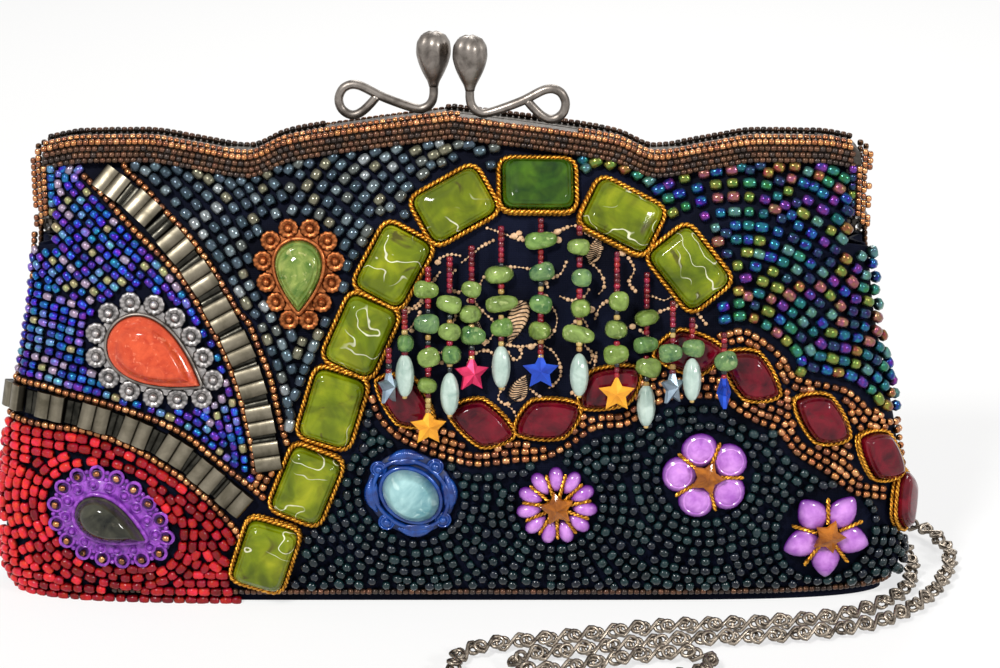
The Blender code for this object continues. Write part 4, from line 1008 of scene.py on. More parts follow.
def make_shapes():
    bead = ((0, -0.4), (0.3, -0.5), (0.45, -0.36), (0.505, 0), (0.45, 0.36), (0.3, 0.5), (0, 0.4))
    round_bead = ((0, -0.34), (0.22, -0.45), (0.4, -0.33), (0.51, 0), (0.4, 0.33), (0.22, 0.45), (0, 0.34))
    for name, profile in (("bead", bead), ("round_bead", round_bead)):
        SHAPES[name] = turned_shape(name, profile, 8)
        SHAPES[name].transform(Matrix.Rotation(math.pi / 2, 4, "Y"))
        # Painted shade: the beads' undersides and hole ends are marked dark in their depth attribute
        paint_shade(SHAPES[name], -0.5, 0.42)
    SHAPES["seed"] = turned_shape("seed", bead, 7)
    SHAPES["ball"] = ball_shape("ball")
    SHAPES["fine_ball"] = ball_shape("fine_ball", 16, 10)


def note_ornaments():
    """Where stones and settings keep the beads away: place, turn, half sizes and squareness."""
    def note(place, turn, length, width, power):
        spot = cloth_place(place)
        angle = math.radians(turn)
        ORNAMENTS.append((spot.x, spot.y, math.cos(angle), math.sin(angle), length / 2, width / 2, power))

    cord = 0.0031
    for across, up, turn in GREEN_PLACES:
        note((across, up), turn, GREEN_SIZE[0] + cord, GREEN_SIZE[1] + cord, 5)
    for across, up, turn in RED_PLACES:
        note((across, up), turn, RED_SIZE[0] + cord, RED_SIZE[1] + cord * 0.85, 1.35)
    for place, turn, stone, pointed, setting, lobes in CABOCHONS.values():
        oval = tip_outline(stone[0] * LAYOUT, stone[1] * LAYOUT, pointed)
        spread = (setting[1] - stone[1]) * LAYOUT / 2 - 0.0004
        spot, angle = cloth_place(place), Matrix.Rotation(math.radians(turn), 2)
        SETTINGS.append([spot + angle @ point.to_2d() for point, out in around(oval, spread, 60, 0)])
    for place, turn, share, petals, length, width, narrowing in FLOWERS.values():
        note(place, turn, 2 * share * LAYOUT, 2 * share * LAYOUT, 2)
    for places in (UPPER_BAND, LOWER_BAND):
        for place, turn in zip(places, band_turns(places)):
            note(place, turn, TILE_SIZE[0] * 1.1, TILE_SIZE[1], 6)


def cloth_place(place):
    z = place[1] * BODY_HEIGHT
    return Vector((unrolled(place[0] * half_width(z), z), z))


def band_turns(places):
    turns = []
    for k in range(len(places)):
        way = cloth_place(places[min(k + 1, len(places) - 1)]) - cloth_place(places[max(k - 1, 0)])
        turns.append(math.degrees(math.atan2(way.y, way.x)))
    return turns


def clear_of_ornaments(spot, margin):
    for u, z, cosine, sine, a, b, power in ORNAMENTS:
        du, dz = spot.x - u, spot.y - z
        if abs(du) > a + b or abs(dz) > a + b:
            continue
        x, y = abs(du * cosine + dz * sine), abs(dz * cosine - du * sine)
        if (x / (a + margin)) ** power + (y / (b + margin)) ** power < 1:
            return False
    return not any(inside(outline, spot) or min((spot - point).length for point in outline) < margin
                   for outline in SETTINGS)


def clear_of_beads(spot, reach):
    column, row = math.floor(spot.x / CELL), math.floor(spot.y / CELL)
    for i in (column - 1, column, column + 1):
        for j in (row - 1, row, row + 1):
            for other, other_reach in SOWN.get((i, j), ()):
                if (spot - other).length < reach + other_reach:
                    return False
    return True


def note_bead(spot, reach):
    SOWN.setdefault((math.floor(spot.x / CELL), math.floor(spot.y / CELL)), []).append((spot, reach))


def on_bag(spot, radius):
    """Whether a bead there lies on the front cloth, clear of its edges and of the frame's edging."""
    left = spot.x < -0.055
    if spot.y < (radius * 1.1 if left else BOARD + 0.0019 + radius):
        return False
    edged = (left and spot.y > 0.049) or spot.y > 0.096
    if abs(spot.x) > edge_reach(spot.y) - radius * 0.5 - (0.0009 if edged else 0):
        return False
    if spot.y > NOTCH_HEIGHT - radius and abs(cloth_point(spot.x, spot.y).x) > LEG_INNER - radius * 0.7:
        return False
    return spot.y < top_height(spot.x) - 0.0052 - radius


def inside(outline, spot):
    found = False
    for a, b in zip(outline, outline[1:] + outline[:1]):
        if (a.y > spot.y) != (b.y > spot.y):
            if spot.x < (b.x - a.x) * (spot.y - a.y) / (b.y - a.y) + a.x:
                found = not found
    return found


class Guide:
    """A line that rows of beads follow, starting at a distance on one side of it."""

    def __init__(self, line, side, first, wrap=False):
        self.line = evenly(through(line, 0.002), 0.0006)
        self.side = side
        self.first = first
        self.wrap = wrap
        self.tree = kdtree.KDTree(len(self.line))
        for k, spot in enumerate(self.line):
            self.tree.insert((spot.x, spot.y, 0), k)
        self.tree.balance()

    def distance(self, spot):
        return self.tree.find((spot.x, spot.y, 0))[2]

    def row(self, away):
        line = self.line
        last = len(line) - 1
        ways = [(line[min(k + 2, last)] - line[max(k - 2, 0)]).normalized() for k in range(last + 1)]
        track = [spot + Vector((-way.y, way.x)) * self.side * away for spot, way in zip(line, ways)]
        if self.wrap:
            steps = max(2, int(math.pi * away / 0.0006))
            normal = Vector((-ways[0].y, ways[0].x)) * self.side * away
            for k in range(1, steps):
                track.insert(0, line[0] + spun(normal.x, normal.y, math.pi * k / steps * self.side))
        return track


def ring_guide(place, size, turn, first):
    """A closed oval that rows lie round, outside it."""
    spot = cloth_place(place)
    points = []
    for k in range(49):
        at = -2 * math.pi * k / 48
        x, y = math.cos(at) * (size[0] * LAYOUT) / 2, math.sin(at) * (size[1] * LAYOUT) / 2
        points.append(spot + spun(x, y, math.radians(turn)))
    return Guide(points, 1, first)


def sow(tray, finish, region, guides, size, shares, rows, painted_light_left_of=None):
    """Rows of beads beside the guides, each row kept where its own guide is the nearest.

    The shares of the bead's size give its length, the pitch of the rows and the step in a row.
    """
    length, pitch, step = (size * share for share in shares)
    reach = 0.44 * min(length, size)
    shape = SHAPES["round_bead" if finish == "teal" else "bead"]

    def put(spot, heading):
        if not inside(region, spot) or not on_bag(spot, size / 2):
            return False
        if not clear_of_ornaments(spot, size * 0.42) or not clear_of_beads(spot, reach):
            return False
        note_bead(spot, reach)
        heading = spun(heading.x, heading.y, random.gauss(0, 0.09))
        scale = random.uniform(0.94, 1.06)
        frame = cloth_frame(spot.x, spot.y, heading, FABRIC / 2 + size * 0.46)
        long = length * scale * random.choice((0.86, 1, 1, 1.12))
        # Painted light: beads left of the given place take the brightest tones, as if more lit on that side
        tone = 0.75 + random.random() / 4 if painted_light_left_of and spot.x < painted_light_left_of else None
        frame = frame @ Matrix.Diagonal((long, size * scale, size * scale, 1))
        tray.add(shape, frame, finish, tone)
        return True

    for k in range(rows):
        for guide in guides:
            away = guide.first + k * pitch
            last = None
            track = guide.row(away)
            for n in range(1, len(track) - 1):
                spot = track[n]
                if last is not None and (spot - last).length < step * random.uniform(0.97, 1.07):
                    continue
                if guide.distance(spot) < away - pitch * 0.12:
                    continue
                if any(other.distance(spot) - other.first < k * pitch - pitch * 0.3
                       for other in guides if other is not guide):
                    continue
                if put(spot, (track[n + 1] - track[n - 1]).normalized()):
                    last = spot
    low = Vector((min(p.x for p in region), min(p.y for p in region)))
    high = Vector((max(p.x for p in region), max(p.y for p in region)))
    grain = pitch * 0.22
    for spare in (0.12, 0.0):
        for j in range(int((high.y - low.y) / grain)):
            for i in range(int((high.x - low.x) / grain)):
                spot = low + Vector((i, j)) * grain
                if clear_of_beads(spot, reach + pitch * spare):
                    guide = min(guides, key=lambda other: other.distance(spot) - other.first)
                    way = spot - guide.line[guide.tree.find((spot.x, spot.y, 0))[1]]
                    put(spot, Vector((-way.y, way.x)).normalized() if way.length > 0 else Vector((1, 0)))


def string_beads(tray, finish, places, diameter, step):
    """One row of beads along places on the front cloth."""
    line = evenly(through(places, 0.002), step)
    for k, spot in enumerate(line):
        way = line[min(k + 1, len(line) - 1)] - line[max(k - 1, 0)]
        if abs(spot.x) > edge_reach(spot.y) - diameter * 0.3 or way.length == 0:
            continue
        note_bead(spot, diameter * 0.42)
        frame = cloth_frame(spot.x, spot.y, way.normalized(), FABRIC / 2 + diameter * 0.46)
        scale = Matrix.Diagonal((diameter * 0.92, diameter, diameter, 1))
        tray.add(SHAPES["bead"], frame @ scale, finish)


def string_in_space(tray, finish, points, diameter, step, out):
    """One row of beads along points in space, with the way out of the surface that they lie on."""
    line = evenly(points, step)
    for k, point in enumerate(line):
        way = line[min(k + 1, len(line) - 1)] - line[max(k - 1, 0)]
        bead_in_space(tray, finish, point, way.normalized(), diameter, out)


def bead_in_space(tray, finish, point, way, diameter, out):
    side = Vector(out).cross(way).normalized()
    size = diameter * random.uniform(0.93, 1.06)
    turn = axes(way, side, way.cross(side)) @ Matrix.Diagonal((diameter * 0.9, size, size, 1))
    tray.add(SHAPES["bead"], Matrix.Translation(point) @ turn, finish)


# Settings that a user would change


class BagSizes(bpy.types.PropertyGroup):
    """Sizes of the beads and cords."""

    silver_bead: FloatProperty(name="Silver bead", description="Diameter of the silver-lined beads",
                               default=0.0028, unit="LENGTH")
    iris_bead: FloatProperty(name="Iris bead", description="Diameter of the iris beads",
                             default=0.0029, unit="LENGTH")
    cobalt_bead: FloatProperty(name="Cobalt bead", description="Diameter of the cobalt beads",
                               default=0.0021, unit="LENGTH")
    red_bead: FloatProperty(name="Red bead", description="Diameter of the red glass beads",
                            default=0.0025, unit="LENGTH")
    teal_bead: FloatProperty(name="Dark bead", description="Diameter of the black teal beads",
                             default=0.0025, unit="LENGTH")
    copper_bead: FloatProperty(name="Copper bead", description="Diameter of the copper beads",
                               default=0.0019, unit="LENGTH")
    edging_bead: FloatProperty(name="Edging bead", description="Diameter of the tiny beads on the edges",
                               default=0.0016, unit="LENGTH")
    cord_ply: FloatProperty(name="Cord ply", description="Radius of one ply of the gold cord",
                            default=0.00042, unit="LENGTH")
    lace_picot: FloatProperty(name="Lace picot", description="Radius of one picot of the lace",
                              default=0.0004, unit="LENGTH")
    chain_wire: FloatProperty(name="Chain wire", description="Radius of the chain links' wire",
                              default=0.00052, unit="LENGTH")


class BagColours(bpy.types.PropertyGroup):
    """Colours of the stage and the lamps."""

    floor: FloatVectorProperty(name="Floor", description="Colour of the floor", size=3,
                               default=(0.93, 0.93, 0.93), subtype="COLOR")
    lamp: FloatVectorProperty(name="Lamps", description="Colour of the lamps", size=3,
                              default=(1.0, 0.985, 0.96), subtype="COLOR")


def sheet_mesh(name, columns, rows, place, close_under=None):
    """A grid placed point by point from its column and row shares, closed below where asked."""
    bm = bmesh.new()
    bmesh.ops.create_grid(bm, x_segments=columns, y_segments=rows, size=1)
    for vertex in bm.verts:
        vertex.co = place(vertex.co.x, (vertex.co.y + 1) / 2)
    if close_under:
        bmesh.ops.remove_doubles(bm, verts=bm.verts, dist=0.00001)
        rim = [edge for edge in bm.edges if edge.is_boundary and edge.verts[0].co.z < close_under]
        bmesh.ops.edgeloop_fill(bm, edges=rim)
    return shape_from(bm, name)


def panel_place(side, low, high, split=None):
    """Points of a panel: across the whole body below, and between the frame's legs above."""
    reach = LEG_INNER - 0.0005

    def place(across, up):
        if split is not None and up > split:
            x = math.sin(across * math.pi / 2) * reach
            top = neck_height(x) + NECK + GRIP
            z = high + (up - split) / (1 - split) * (top - high)
            return Vector((x, side * face_depth(x, min(z, neck_height(x))), z))
        point = face_point(across, low + up / (split or 1) * (high - low))
        return Vector((point.x, -side * point.y, point.z))
    return place


def fabric(mesh, body, node, thickness, finish="cloth"):
    """A sheet of cloth with its thickness, in place of a solid."""
    mesh.materials.append(FINISHES[finish])
    thing = new_piece(mesh.name, mesh, body, (node,))
    wall = thing.modifiers.new("wall", "SOLIDIFY")
    wall.thickness = thickness
    wall.offset = 0
    wall.use_even_offset = True
    return thing


class EVENING_BAG_OT_cloth(bpy.types.Operator):
    """Model the cloth panels, gussets, base and lining"""

    bl_idname = "evening_bag.cloth"
    bl_label = "Cloth body"

    def execute(self, context):
        bottom = BOARD + GAP
        front = panel_place(-1, bottom, NOTCH_HEIGHT, 49.5 / 70)
        back = panel_place(1, bottom, NOTCH_HEIGHT)
        back_top = panel_place(1, 0, NOTCH_HEIGHT + GAP, -0.001)
        fabric(sheet_mesh("front_cloth", 96, 70, front), "bag", "front_panel", FABRIC)
        fabric(sheet_mesh("back_cloth", 96, 48, back), "bag", "back_panel", FABRIC)
        top = fabric(sheet_mesh("back_cloth_top", 96, 24, back_top), None, "back_panel_top", FABRIC)
        neck_height(0)
        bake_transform(top)
        for name, side in (("left_gusset", -1), ("right_gusset", 1)):
            def fold(across, up):
                z = bottom + GAP + up * (NOTCH_HEIGHT - bottom - GAP)
                width = half_width(z)
                reach = side_depth(width, z) - FABRIC / 2 - GAP
                crease = (1 - abs(across) ** 1.6) * GUSSET_FOLD
                return Vector((side * (width - crease), across * reach, z))
            fabric(sheet_mesh(f"{name}_cloth", 12, 40, fold), "bag", name, GUSSET_FABRIC)

        outline = []
        for k in range(65):
            point = face_point(2 * k / 64 - 1, 0)
            outline.append(Vector((point.x, point.y - FABRIC / 2)))
        outline += [Vector((point.x, -point.y)) for point in reversed(outline)]
        base = domed_shape("base_cloth", outline, BOARD, ((0, 0), (0, 0.15), (0, 0.9), (0.004, 1)))
        base.materials.append(FINISHES["cloth"])
        new_piece("base_cloth", base, "bag", ("base_board",))

        inset = GUSSET_FOLD + GUSSET_FABRIC + 0.001
        floor = BOARD + GAP + LINING

        def pocket(across, up):
            z = floor + up * (NOTCH_HEIGHT - floor)
            wide = half_width(z)
            turn = across * math.pi
            x = math.sin(turn) * wide * ((wide - inset) / wide)
            depth = face_depth(x, z) - (FABRIC / 2 + 0.001)
            return Vector((x, depth * math.tanh(6 * math.cos(turn)), z))

        fabric(sheet_mesh("lining_cloth", 96, 30, pocket, floor + 0.0001), "bag", "lining", LINING, "lining")
        return {"FINISHED"}


class EVENING_BAG_OT_bead_rows(bpy.types.Operator):
    """String the single rows of copper beads beside the bands"""

    bl_idname = "evening_bag.bead_rows"
    bl_label = "Copper bead rows"

    def execute(self, context):
        size = context.scene.bag_sizes.copper_bead
        tray = Tray("copper_bead_rows")
        for row in (UPPER_LEFT_ROW, UPPER_RIGHT_ROW, LOWER_TOP_ROW, LOWER_FOOT_ROW):
            string_beads(tray, "copper", [on_cloth(pixel) for pixel in row], size, size * 1.02)
        tray.finish("bag")
        return {"FINISHED"}


class EVENING_BAG_OT_bead_fields(bpy.types.Operator):
    """Sow the six fields of seed beads on the front"""

    bl_idname = "evening_bag.bead_fields"
    bl_label = "Bead fields"

    def execute(self, context):
        sizes = context.scene.bag_sizes

        def spots(*pixels):
            return [on_cloth(pixel) for pixel in pixels]

        def field(name, *sowings):
            tray = Tray(name)
            for sowing in sowings:
                sow(tray, *sowing)
            tray.finish("bag")

        left, right = spots(*UPPER_LEFT_ROW), spots(*UPPER_RIGHT_ROW)
        top, foot = spots(*LOWER_TOP_ROW), spots(*LOWER_FOOT_ROW)
        arch = spots(*ARCH_LINE)
        copper_foot, copper_top = spots(*COPPER_FOOT), spots(*COPPER_TOP)
        bottom = [Vector((u, 0)) for u in (-0.13, -0.08, 0, 0.08, 0.13)]
        place, turn, stone, pointed, setting, lobes = CABOCHONS["black"]
        round_black = ring_guide(place, setting, turn, 0.0014)
        place, turn, stone, pointed, setting, lobes = CABOCHONS["blue"]
        round_blue = ring_guide(place, setting, turn, 0.0016)

        size = sizes.copper_bead
        region = copper_foot + spots((905, 470), (905, 440)) + copper_top[::-1] + spots(*RED_LINE)
        guides = [Guide(copper_foot, 1, 0.001), Guide(copper_top, -1, 0.001)]
        field("copper_bead_field", ("copper", region, guides, size, (1, 1.06, 1.04), 7),
              ("copper", spots(*TRIANGLE), [Guide(arch[:3], 1, 0.0095)], size, (1, 1.04, 1.04), 4))

        region = spots((15, 80), (70, 100), (84, 150)) + left + top[::-1]
        region += spots((5, 374), (0, 330), (10, 250), (15, 160))
        guides = [Guide(left, -1, 0.0023), Guide(top, 1, 0.0023)]
        field("cobalt_bead_field", ("cobalt", region, guides, sizes.cobalt_bead, (1.05, 1.06, 1.06), 44))

        region = spots((118, 100)) + right + spots((300, 462), (318, 450)) + arch[2:7]
        region += spots((575, 190), (575, 100))
        guides = [Guide(right, 1, 0.0029), Guide(arch, 1, 0.0098)]
        field("silver_bead_field", ("silver", region, guides, sizes.silver_bead, (1.02, 1.07, 1.05), 36))

        region = spots((575, 100), (575, 190)) + arch[7:] + spots((722, 305)) + copper_top
        region += spots((920, 440), (935, 330), (915, 200), (890, 90))
        guides = [Guide(copper_top, 1, 0.0028, True)]
        field("iris_bead_field", ("iris", region, guides, sizes.iris_bead, (1.02, 1.05, 1.04), 37))

        region = spots((-25, 407)) + foot + spots((256, 545)) + arch[:1] + spots((262, 650), (-40, 650))
        guides = [Guide(foot, -1, 0.0022), round_black, Guide(bottom, 1, 0.0016)]
        # Painted light: the red beads left of -0.1075 m take the brightest tones
        field("red_bead_field", ("red", region, guides, sizes.red_bead, (1.12, 0.98, 1.12), 14, -0.1075))

        region = arch[:3] + spots((345, 392)) + copper_foot + spots((925, 500), (940, 640), (262, 650))
        guides = [Guide(copper_foot, -1, 0.0024), round_blue]
        for place, turn, share, *rest in FLOWERS.values():
            guides.append(ring_guide(place, (2 * share, 2 * share), 0, 0.0014))
        field("black_teal_bead_field", ("teal", region, guides, sizes.teal_bead, (1.06, 1.03, 1), 28))
        return {"FINISHED"}


class EVENING_BAG_OT_edging(bpy.types.Operator):
    """String the tiny beads along the bag's edges"""

    bl_idname = "evening_bag.edging"
    bl_label = "Beaded edging"

    def execute(self, context):
        size = context.scene.bag_sizes.edging_bead
        front = BOW_OFFSET + BOW_THICKNESS / 2 + size * 0.42
        shoulder = FRAME_HALF_WIDTH - 0.0008
        high = top_height(FRAME_HALF_WIDTH)
        copper, brown = "copper", "brown"

        def along_top(side, drop, depth, shift, skip=0):
            """Spots along the frame's top edge, in two runs beside the clasp where one half skips it."""
            xs = [-shoulder + shift + 2 * shoulder * k / 160 for k in range(160)]
            spots = [Vector((x, side * depth, top_height(x) - drop)) for x in xs
                     if not (skip and 0.002 < x * skip < 0.031)]
            if not skip:
                return [spots]
            return [[spot for spot in spots if spot.x * skip < 0.01],
                    [spot for spot in spots if spot.x * skip > 0.01]]

        def leg_beads(tray, side, hand):
            """Two columns down a leg of the frame, and picots beside it."""
            glass = brown if side > 0 else "cobalt" if hand < 0 else "iris"
            for finish, out, wide in ((copper, 0.0005, size), (glass, 0.00215, size * 1.35)):
                leg = [Vector((hand * (FRAME_HALF_WIDTH - out), side * (front + wide * 0.04),
                               high - 0.0052 - k * 0.001)) for k in range(13)]
                string_in_space(tray, finish, leg, wide, wide * 1.02, (0, side, 0))
            for column in range(2):
                for k in range(12 if side < 0 else 4):
                    if column and random.random() < 0.25:
                        continue
                    spot = Vector((hand * (FRAME_HALF_WIDTH + size * (0.5 + 0.85 * column)),
                                   side * (front - size * (0.35 + 0.4 * column)),
                                   high - size * (0.6 + 1.02 * k + 0.5 * column)))
                    bead_in_space(tray, copper, spot, Vector((0, 0, -1)), size, (hand * 0.5, side, 0))

        for name, side, body, hand in (("front_top_edging", -1, "bag", 1),
                                       ("back_top_edging", 1, "back_frame", -1)):
            tray = Tray(name)
            for finish, drop, depth, shift in (
                    (copper, size * 0.2, front, 0), (brown, size * 1.2, front, 0.0006),
                    (brown, size * 2.2, front, 0.0002), (brown, size * 3.1, front - size * 0.12, 0.0009)):
                for spots in along_top(side, drop, depth, shift):
                    string_in_space(tray, finish, spots, size, size * 0.95, (0, side, 0.3))
            for spots in along_top(side, -size * 0.4, front - size * 0.92, 0.0004, hand):
                string_in_space(tray, copper if side < 0 else brown, spots, size * 0.95, size * 0.97,
                                (0, side * 0.5, 1))
            for leg in (-1, 1):
                leg_beads(tray, side, leg)
            tray.finish(body)

        tray = Tray("seam_edging")
        for side in (-1, 1):
            for hand in (-1, 1):
                if side < 0 and hand > 0:
                    continue
                low = 0.05 if side < 0 else BOARD + 0.0016
                line = []
                for k in range(61):
                    z = low + (NOTCH_HEIGHT + 0.003 - low) * k / 60
                    x = half_width(z)
                    line.append(Vector((hand * (x + FABRIC / 2 + size * 0.3),
                                        side * (side_depth(x, z) + size * 0.2), z)))
                string_in_space(tray, copper, line, size, size * 0.95, (hand, side, 0))
            foot = []
            for k in range(40 if side < 0 else 0, 181):
                point = face_point(2 * k / 180 - 1, BOARD + 0.0009)
                foot.append(Vector((point.x, -side * (point.y - FABRIC / 2 - size * 0.42), point.z)))
            string_in_space(tray, brown, foot, size, size * 0.97, (0, side, 0.2))
        tray.finish("bag")
        return {"FINISHED"}


class EVENING_BAG_OT_stones(bpy.types.Operator):
    """Model the green and red stones"""

    bl_idname = "evening_bag.stones"
    bl_label = "Green and red stones"

    def execute(self, context):
        pillow = ((0.0, 0.32), (0.012, 0.45), (0.035, 0.57), (0.07, 0.68), (0.12, 0.78), (0.18, 0.86),
                  (0.26, 0.92), (0.37, 0.96), (0.52, 0.985), (0.75, 1.0))
        deep_shares = {7: 1.0, 4: 0.15, 9: 0.1}
        for colour, outline, places, size, finish in (
                ("green", green_outline(), GREEN_PLACES, GREEN_SIZE, "green"),
                ("red", red_outline(), RED_PLACES, RED_SIZE, "red_stone")):
            stone = domed_shape(colour, outline, size[2], pillow)
            for number, (across, up, turn) in enumerate(places, 1):
                tray = Tray(f"{colour}_glass_{number}")
                tone = deep_shares.get(number, 0.0) if colour == "green" else None
                tray.add(stone, ornament_frame((across, up), turn, size[0], size[1]), finish, tone)
                tray.finish("bag", f"{colour}_glass", (f"{colour}_stone_{number}",))
        return {"FINISHED"}


class EVENING_BAG_OT_gold_cord(bpy.types.Operator):
    """Lay the twisted gold cord round the stones"""

    bl_idname = "evening_bag.gold_cord"
    bl_label = "Gold cord"

    def execute(self, context):
        ply = context.scene.bag_sizes.cord_ply
        for name, places, outline_of, size, wire in (
                ("green_stone_cord", GREEN_PLACES, green_outline, GREEN_SIZE, ply),
                ("red_stone_cord", RED_PLACES, red_outline, RED_SIZE, ply * 0.78)):
            outline = outline_of(wire * 1.7)
            lines = []
            for rise in (0.0008, -0.0004):
                for across, up, turn in places:
                    frame = ornament_frame((across, up), turn, size[0], size[1])
                    ring = [frame @ Vector((*point, rise)) for point in outline + outline[:1]]
                    lines += cord_lines(evenly(ring, 0.00034)[:-1], frame, wire, True)
            mesh = tube_shape(name, lines, wire)
            mesh.materials.append(FINISHES["cord"])
            new_piece(name, mesh, "bag")
        return {"FINISHED"}


def cord_lines(points, frame, ply, closed):
    """The plies of a gold cord that lies on a frame's plane."""
    return twisted_lines(points, [frame.to_3x3().col[2]] * len(points), ply * 0.85, closed)


def daisy_shape():
    """A small round flower with a notched rim and a boss in the middle."""
    profile = ((0, 1.75), (0.45, 1.63), (0.8, 1.3), (0.98, 0.85), (1.1, 0.45), (1.35, 0.55), (1.7, 0.85),
               (2.1, 0.85), (2.45, 0.6), (2.6, 0.25), (2.6, -0.2), (0, -0.2))
    shape = turned_shape("daisy", [(r / 1000, z / 1000) for r, z in profile], 22)
    values = []
    # Painted shade: the hollows marked dark and the notches half dark in the depth attribute
    for vertex in shape.vertices:
        x, y, z = vertex.co
        reach = math.hypot(x, y)
        notch = round(math.atan2(y, x) / (math.pi / 11)) % 2
        hollow = 0.001 < reach < 0.0013 or reach > 0.00255
        values.append(0 if hollow else 0.45 if notch and reach > 0.0013 else 1)
        if notch and 0.0013 < reach:
            vertex.co = (x * 0.96, y * 0.96, z * 0.62)
    return set_depth(shape, values)


def wider(oval, offset, count, rise=0):
    """The line outside an oval, at an offset from it."""
    return [spot for spot, turned in around(oval, offset, count, rise)]


def add_plate(tray, frame, outline, height, share, inset, finish):
    """A plate with an upright rim up to a share of its height, then slanted."""
    corners = [point.to_2d() for point in outline]
    tray.add(domed_shape("plate", corners, height, ((0.0, share), (inset, 1.0))), frame, finish)


def add_daisies(tray, frame, oval, scale, count, coat):
    add_plate(tray, frame, wider(oval, 0.0026, 60), 0.0007, 0.5, 0.012, coat)
    daisy = daisy_shape()
    for spot, turned in around(oval, 0.0005 + 0.0026 * scale, count, 0.0008):
        tray.add(daisy, frame @ place_at(spot, scale, turned), coat)


def add_filigree(tray, frame, oval, lobes, coat):
    """Pearled rings round the stone, and an open curl with a bead in it at each lobe."""
    ball = SHAPES["fine_ball"]
    # Painted shade: the low outer plate takes the dark copy of the enamel
    add_plate(tray, frame, wider(oval, 0.0062, 96), 0.0007, 0.6, 0.02, "violet_painted_shade")
    add_plate(tray, frame, wider(oval, 0.0038, 96), 0.0012, 0.7, 0.02, coat)
    ring = ring_shape("pearl_ring", 0.00128, 0.00034, 16, 5)
    for spot, turned in around(oval, 0.0026, 15, 0.0012):
        tray.add(ring, frame @ place_at(spot), coat)
        tray.add(ball, frame @ place_at(spot, (0.00075, 0.00075, 0.00095)), coat)
    curl = ring_shape("curl", 0.00172, 0.00042)
    spots = around(oval, 0.0054, lobes, 0.0007)
    for k, (spot, turned) in enumerate(spots):
        after, after_turned = spots[(k + 1) % len(spots)]
        way = Vector((math.cos(turned), math.sin(turned), 0))
        outwards = (way + Vector((math.cos(after_turned), math.sin(after_turned), 0))).normalized()
        tray.add(curl, frame @ place_at(spot, (1.1, 1, 1), turned), coat)
        turn = Matrix.Rotation(math.pi / 2, 4, "Y") if k % 5 == 1 else Matrix.Rotation(turned + k, 4, "Z")
        bead = frame @ Matrix.Translation(spot + way * 0.0001 + Vector((0, 0, 0.0006))) @ turn
        tray.add(SHAPES["bead"], bead @ Matrix.Diagonal((0.0016, 0.0017, 0.0017, 1)), "copper")
        for reach, size in ((0.0008, 0.00058), (-0.0011, 0.0006)):
            tray.add(ball, frame @ place_at((spot + after) / 2 + outwards * reach, size), coat)


def add_scrolls(tray, frame, oval, outer, inner, coat):
    """A ring, four round bosses and thick crescents between them."""
    ball = SHAPES["fine_ball"]
    plate = lobed_outline(outer * 0.92, inner * 0.92)
    # Painted shade: the low lobed plate takes the dark copy of the enamel
    add_plate(tray, frame, plate, 0.0009, 0.6, 0.02, "blue_painted_shade")
    rim = ring_shape("boss_rim", 0.00205, 0.0004, 20)
    a, b = outer * 0.43, inner * 0.43
    last = 16
    for quarter in range(4):
        turn = quarter * math.pi / 2
        spot = Vector((math.cos(turn) * a * 0.98, math.sin(turn) * b * 0.98, 0.0011))
        for shape, lift, size in ((ball, 0, (0.0019, 0.0019, 0.0008)),
                                  (ball, 0.0004, (0.0011, 0.0011, 0.0012)), (rim, 0.0003, 0.9)):
            tray.add(shape, frame @ place_at(spot + Vector((0, 0, lift)), size), coat)
        for reach, spread, lift, thick in ((0.99, 0.38, 0.0007, 0.0014), (0.86, 0.28, 0.0014, 0.0008)):
            turns = [turn + math.pi / 4 + spread * (step / 8 - 1) for step in range(last + 1)]
            arc = [Vector((math.cos(at) * a * reach, math.sin(at) * b * reach, lift)) for at in turns]
            for step, point in enumerate(arc):
                before, after = arc[max(step - 1, 0)], arc[min(step + 1, last)]
                size = 0.0003 + thick * math.sin(math.pi * (step + 0.5) / (last + 1)) ** 0.8
                way = math.atan2(after.y - before.y, after.x - before.x)
                tray.add(ball, frame @ place_at(point, (0.001, size, size * 0.8), way), coat)
    tray.add(tube_shape("ring", [(wider(oval, 0.0021, 80, 0.0014), True)], 0.0006, 2), frame, coat)


# Slot and finish of each setting, and slot of its stone
CABOCHON_FINISHES = {
    "coral": ("silver_daisy", "silver_daisy", "coral"),
    "green_drop": ("copper_daisy", "copper_daisy", "green_crystal"),
    "black": ("violet_enamel", "violet", "black_labradorite"),
    "blue": ("blue_enamel", "blue_enamel", "blue_crystal"),
}


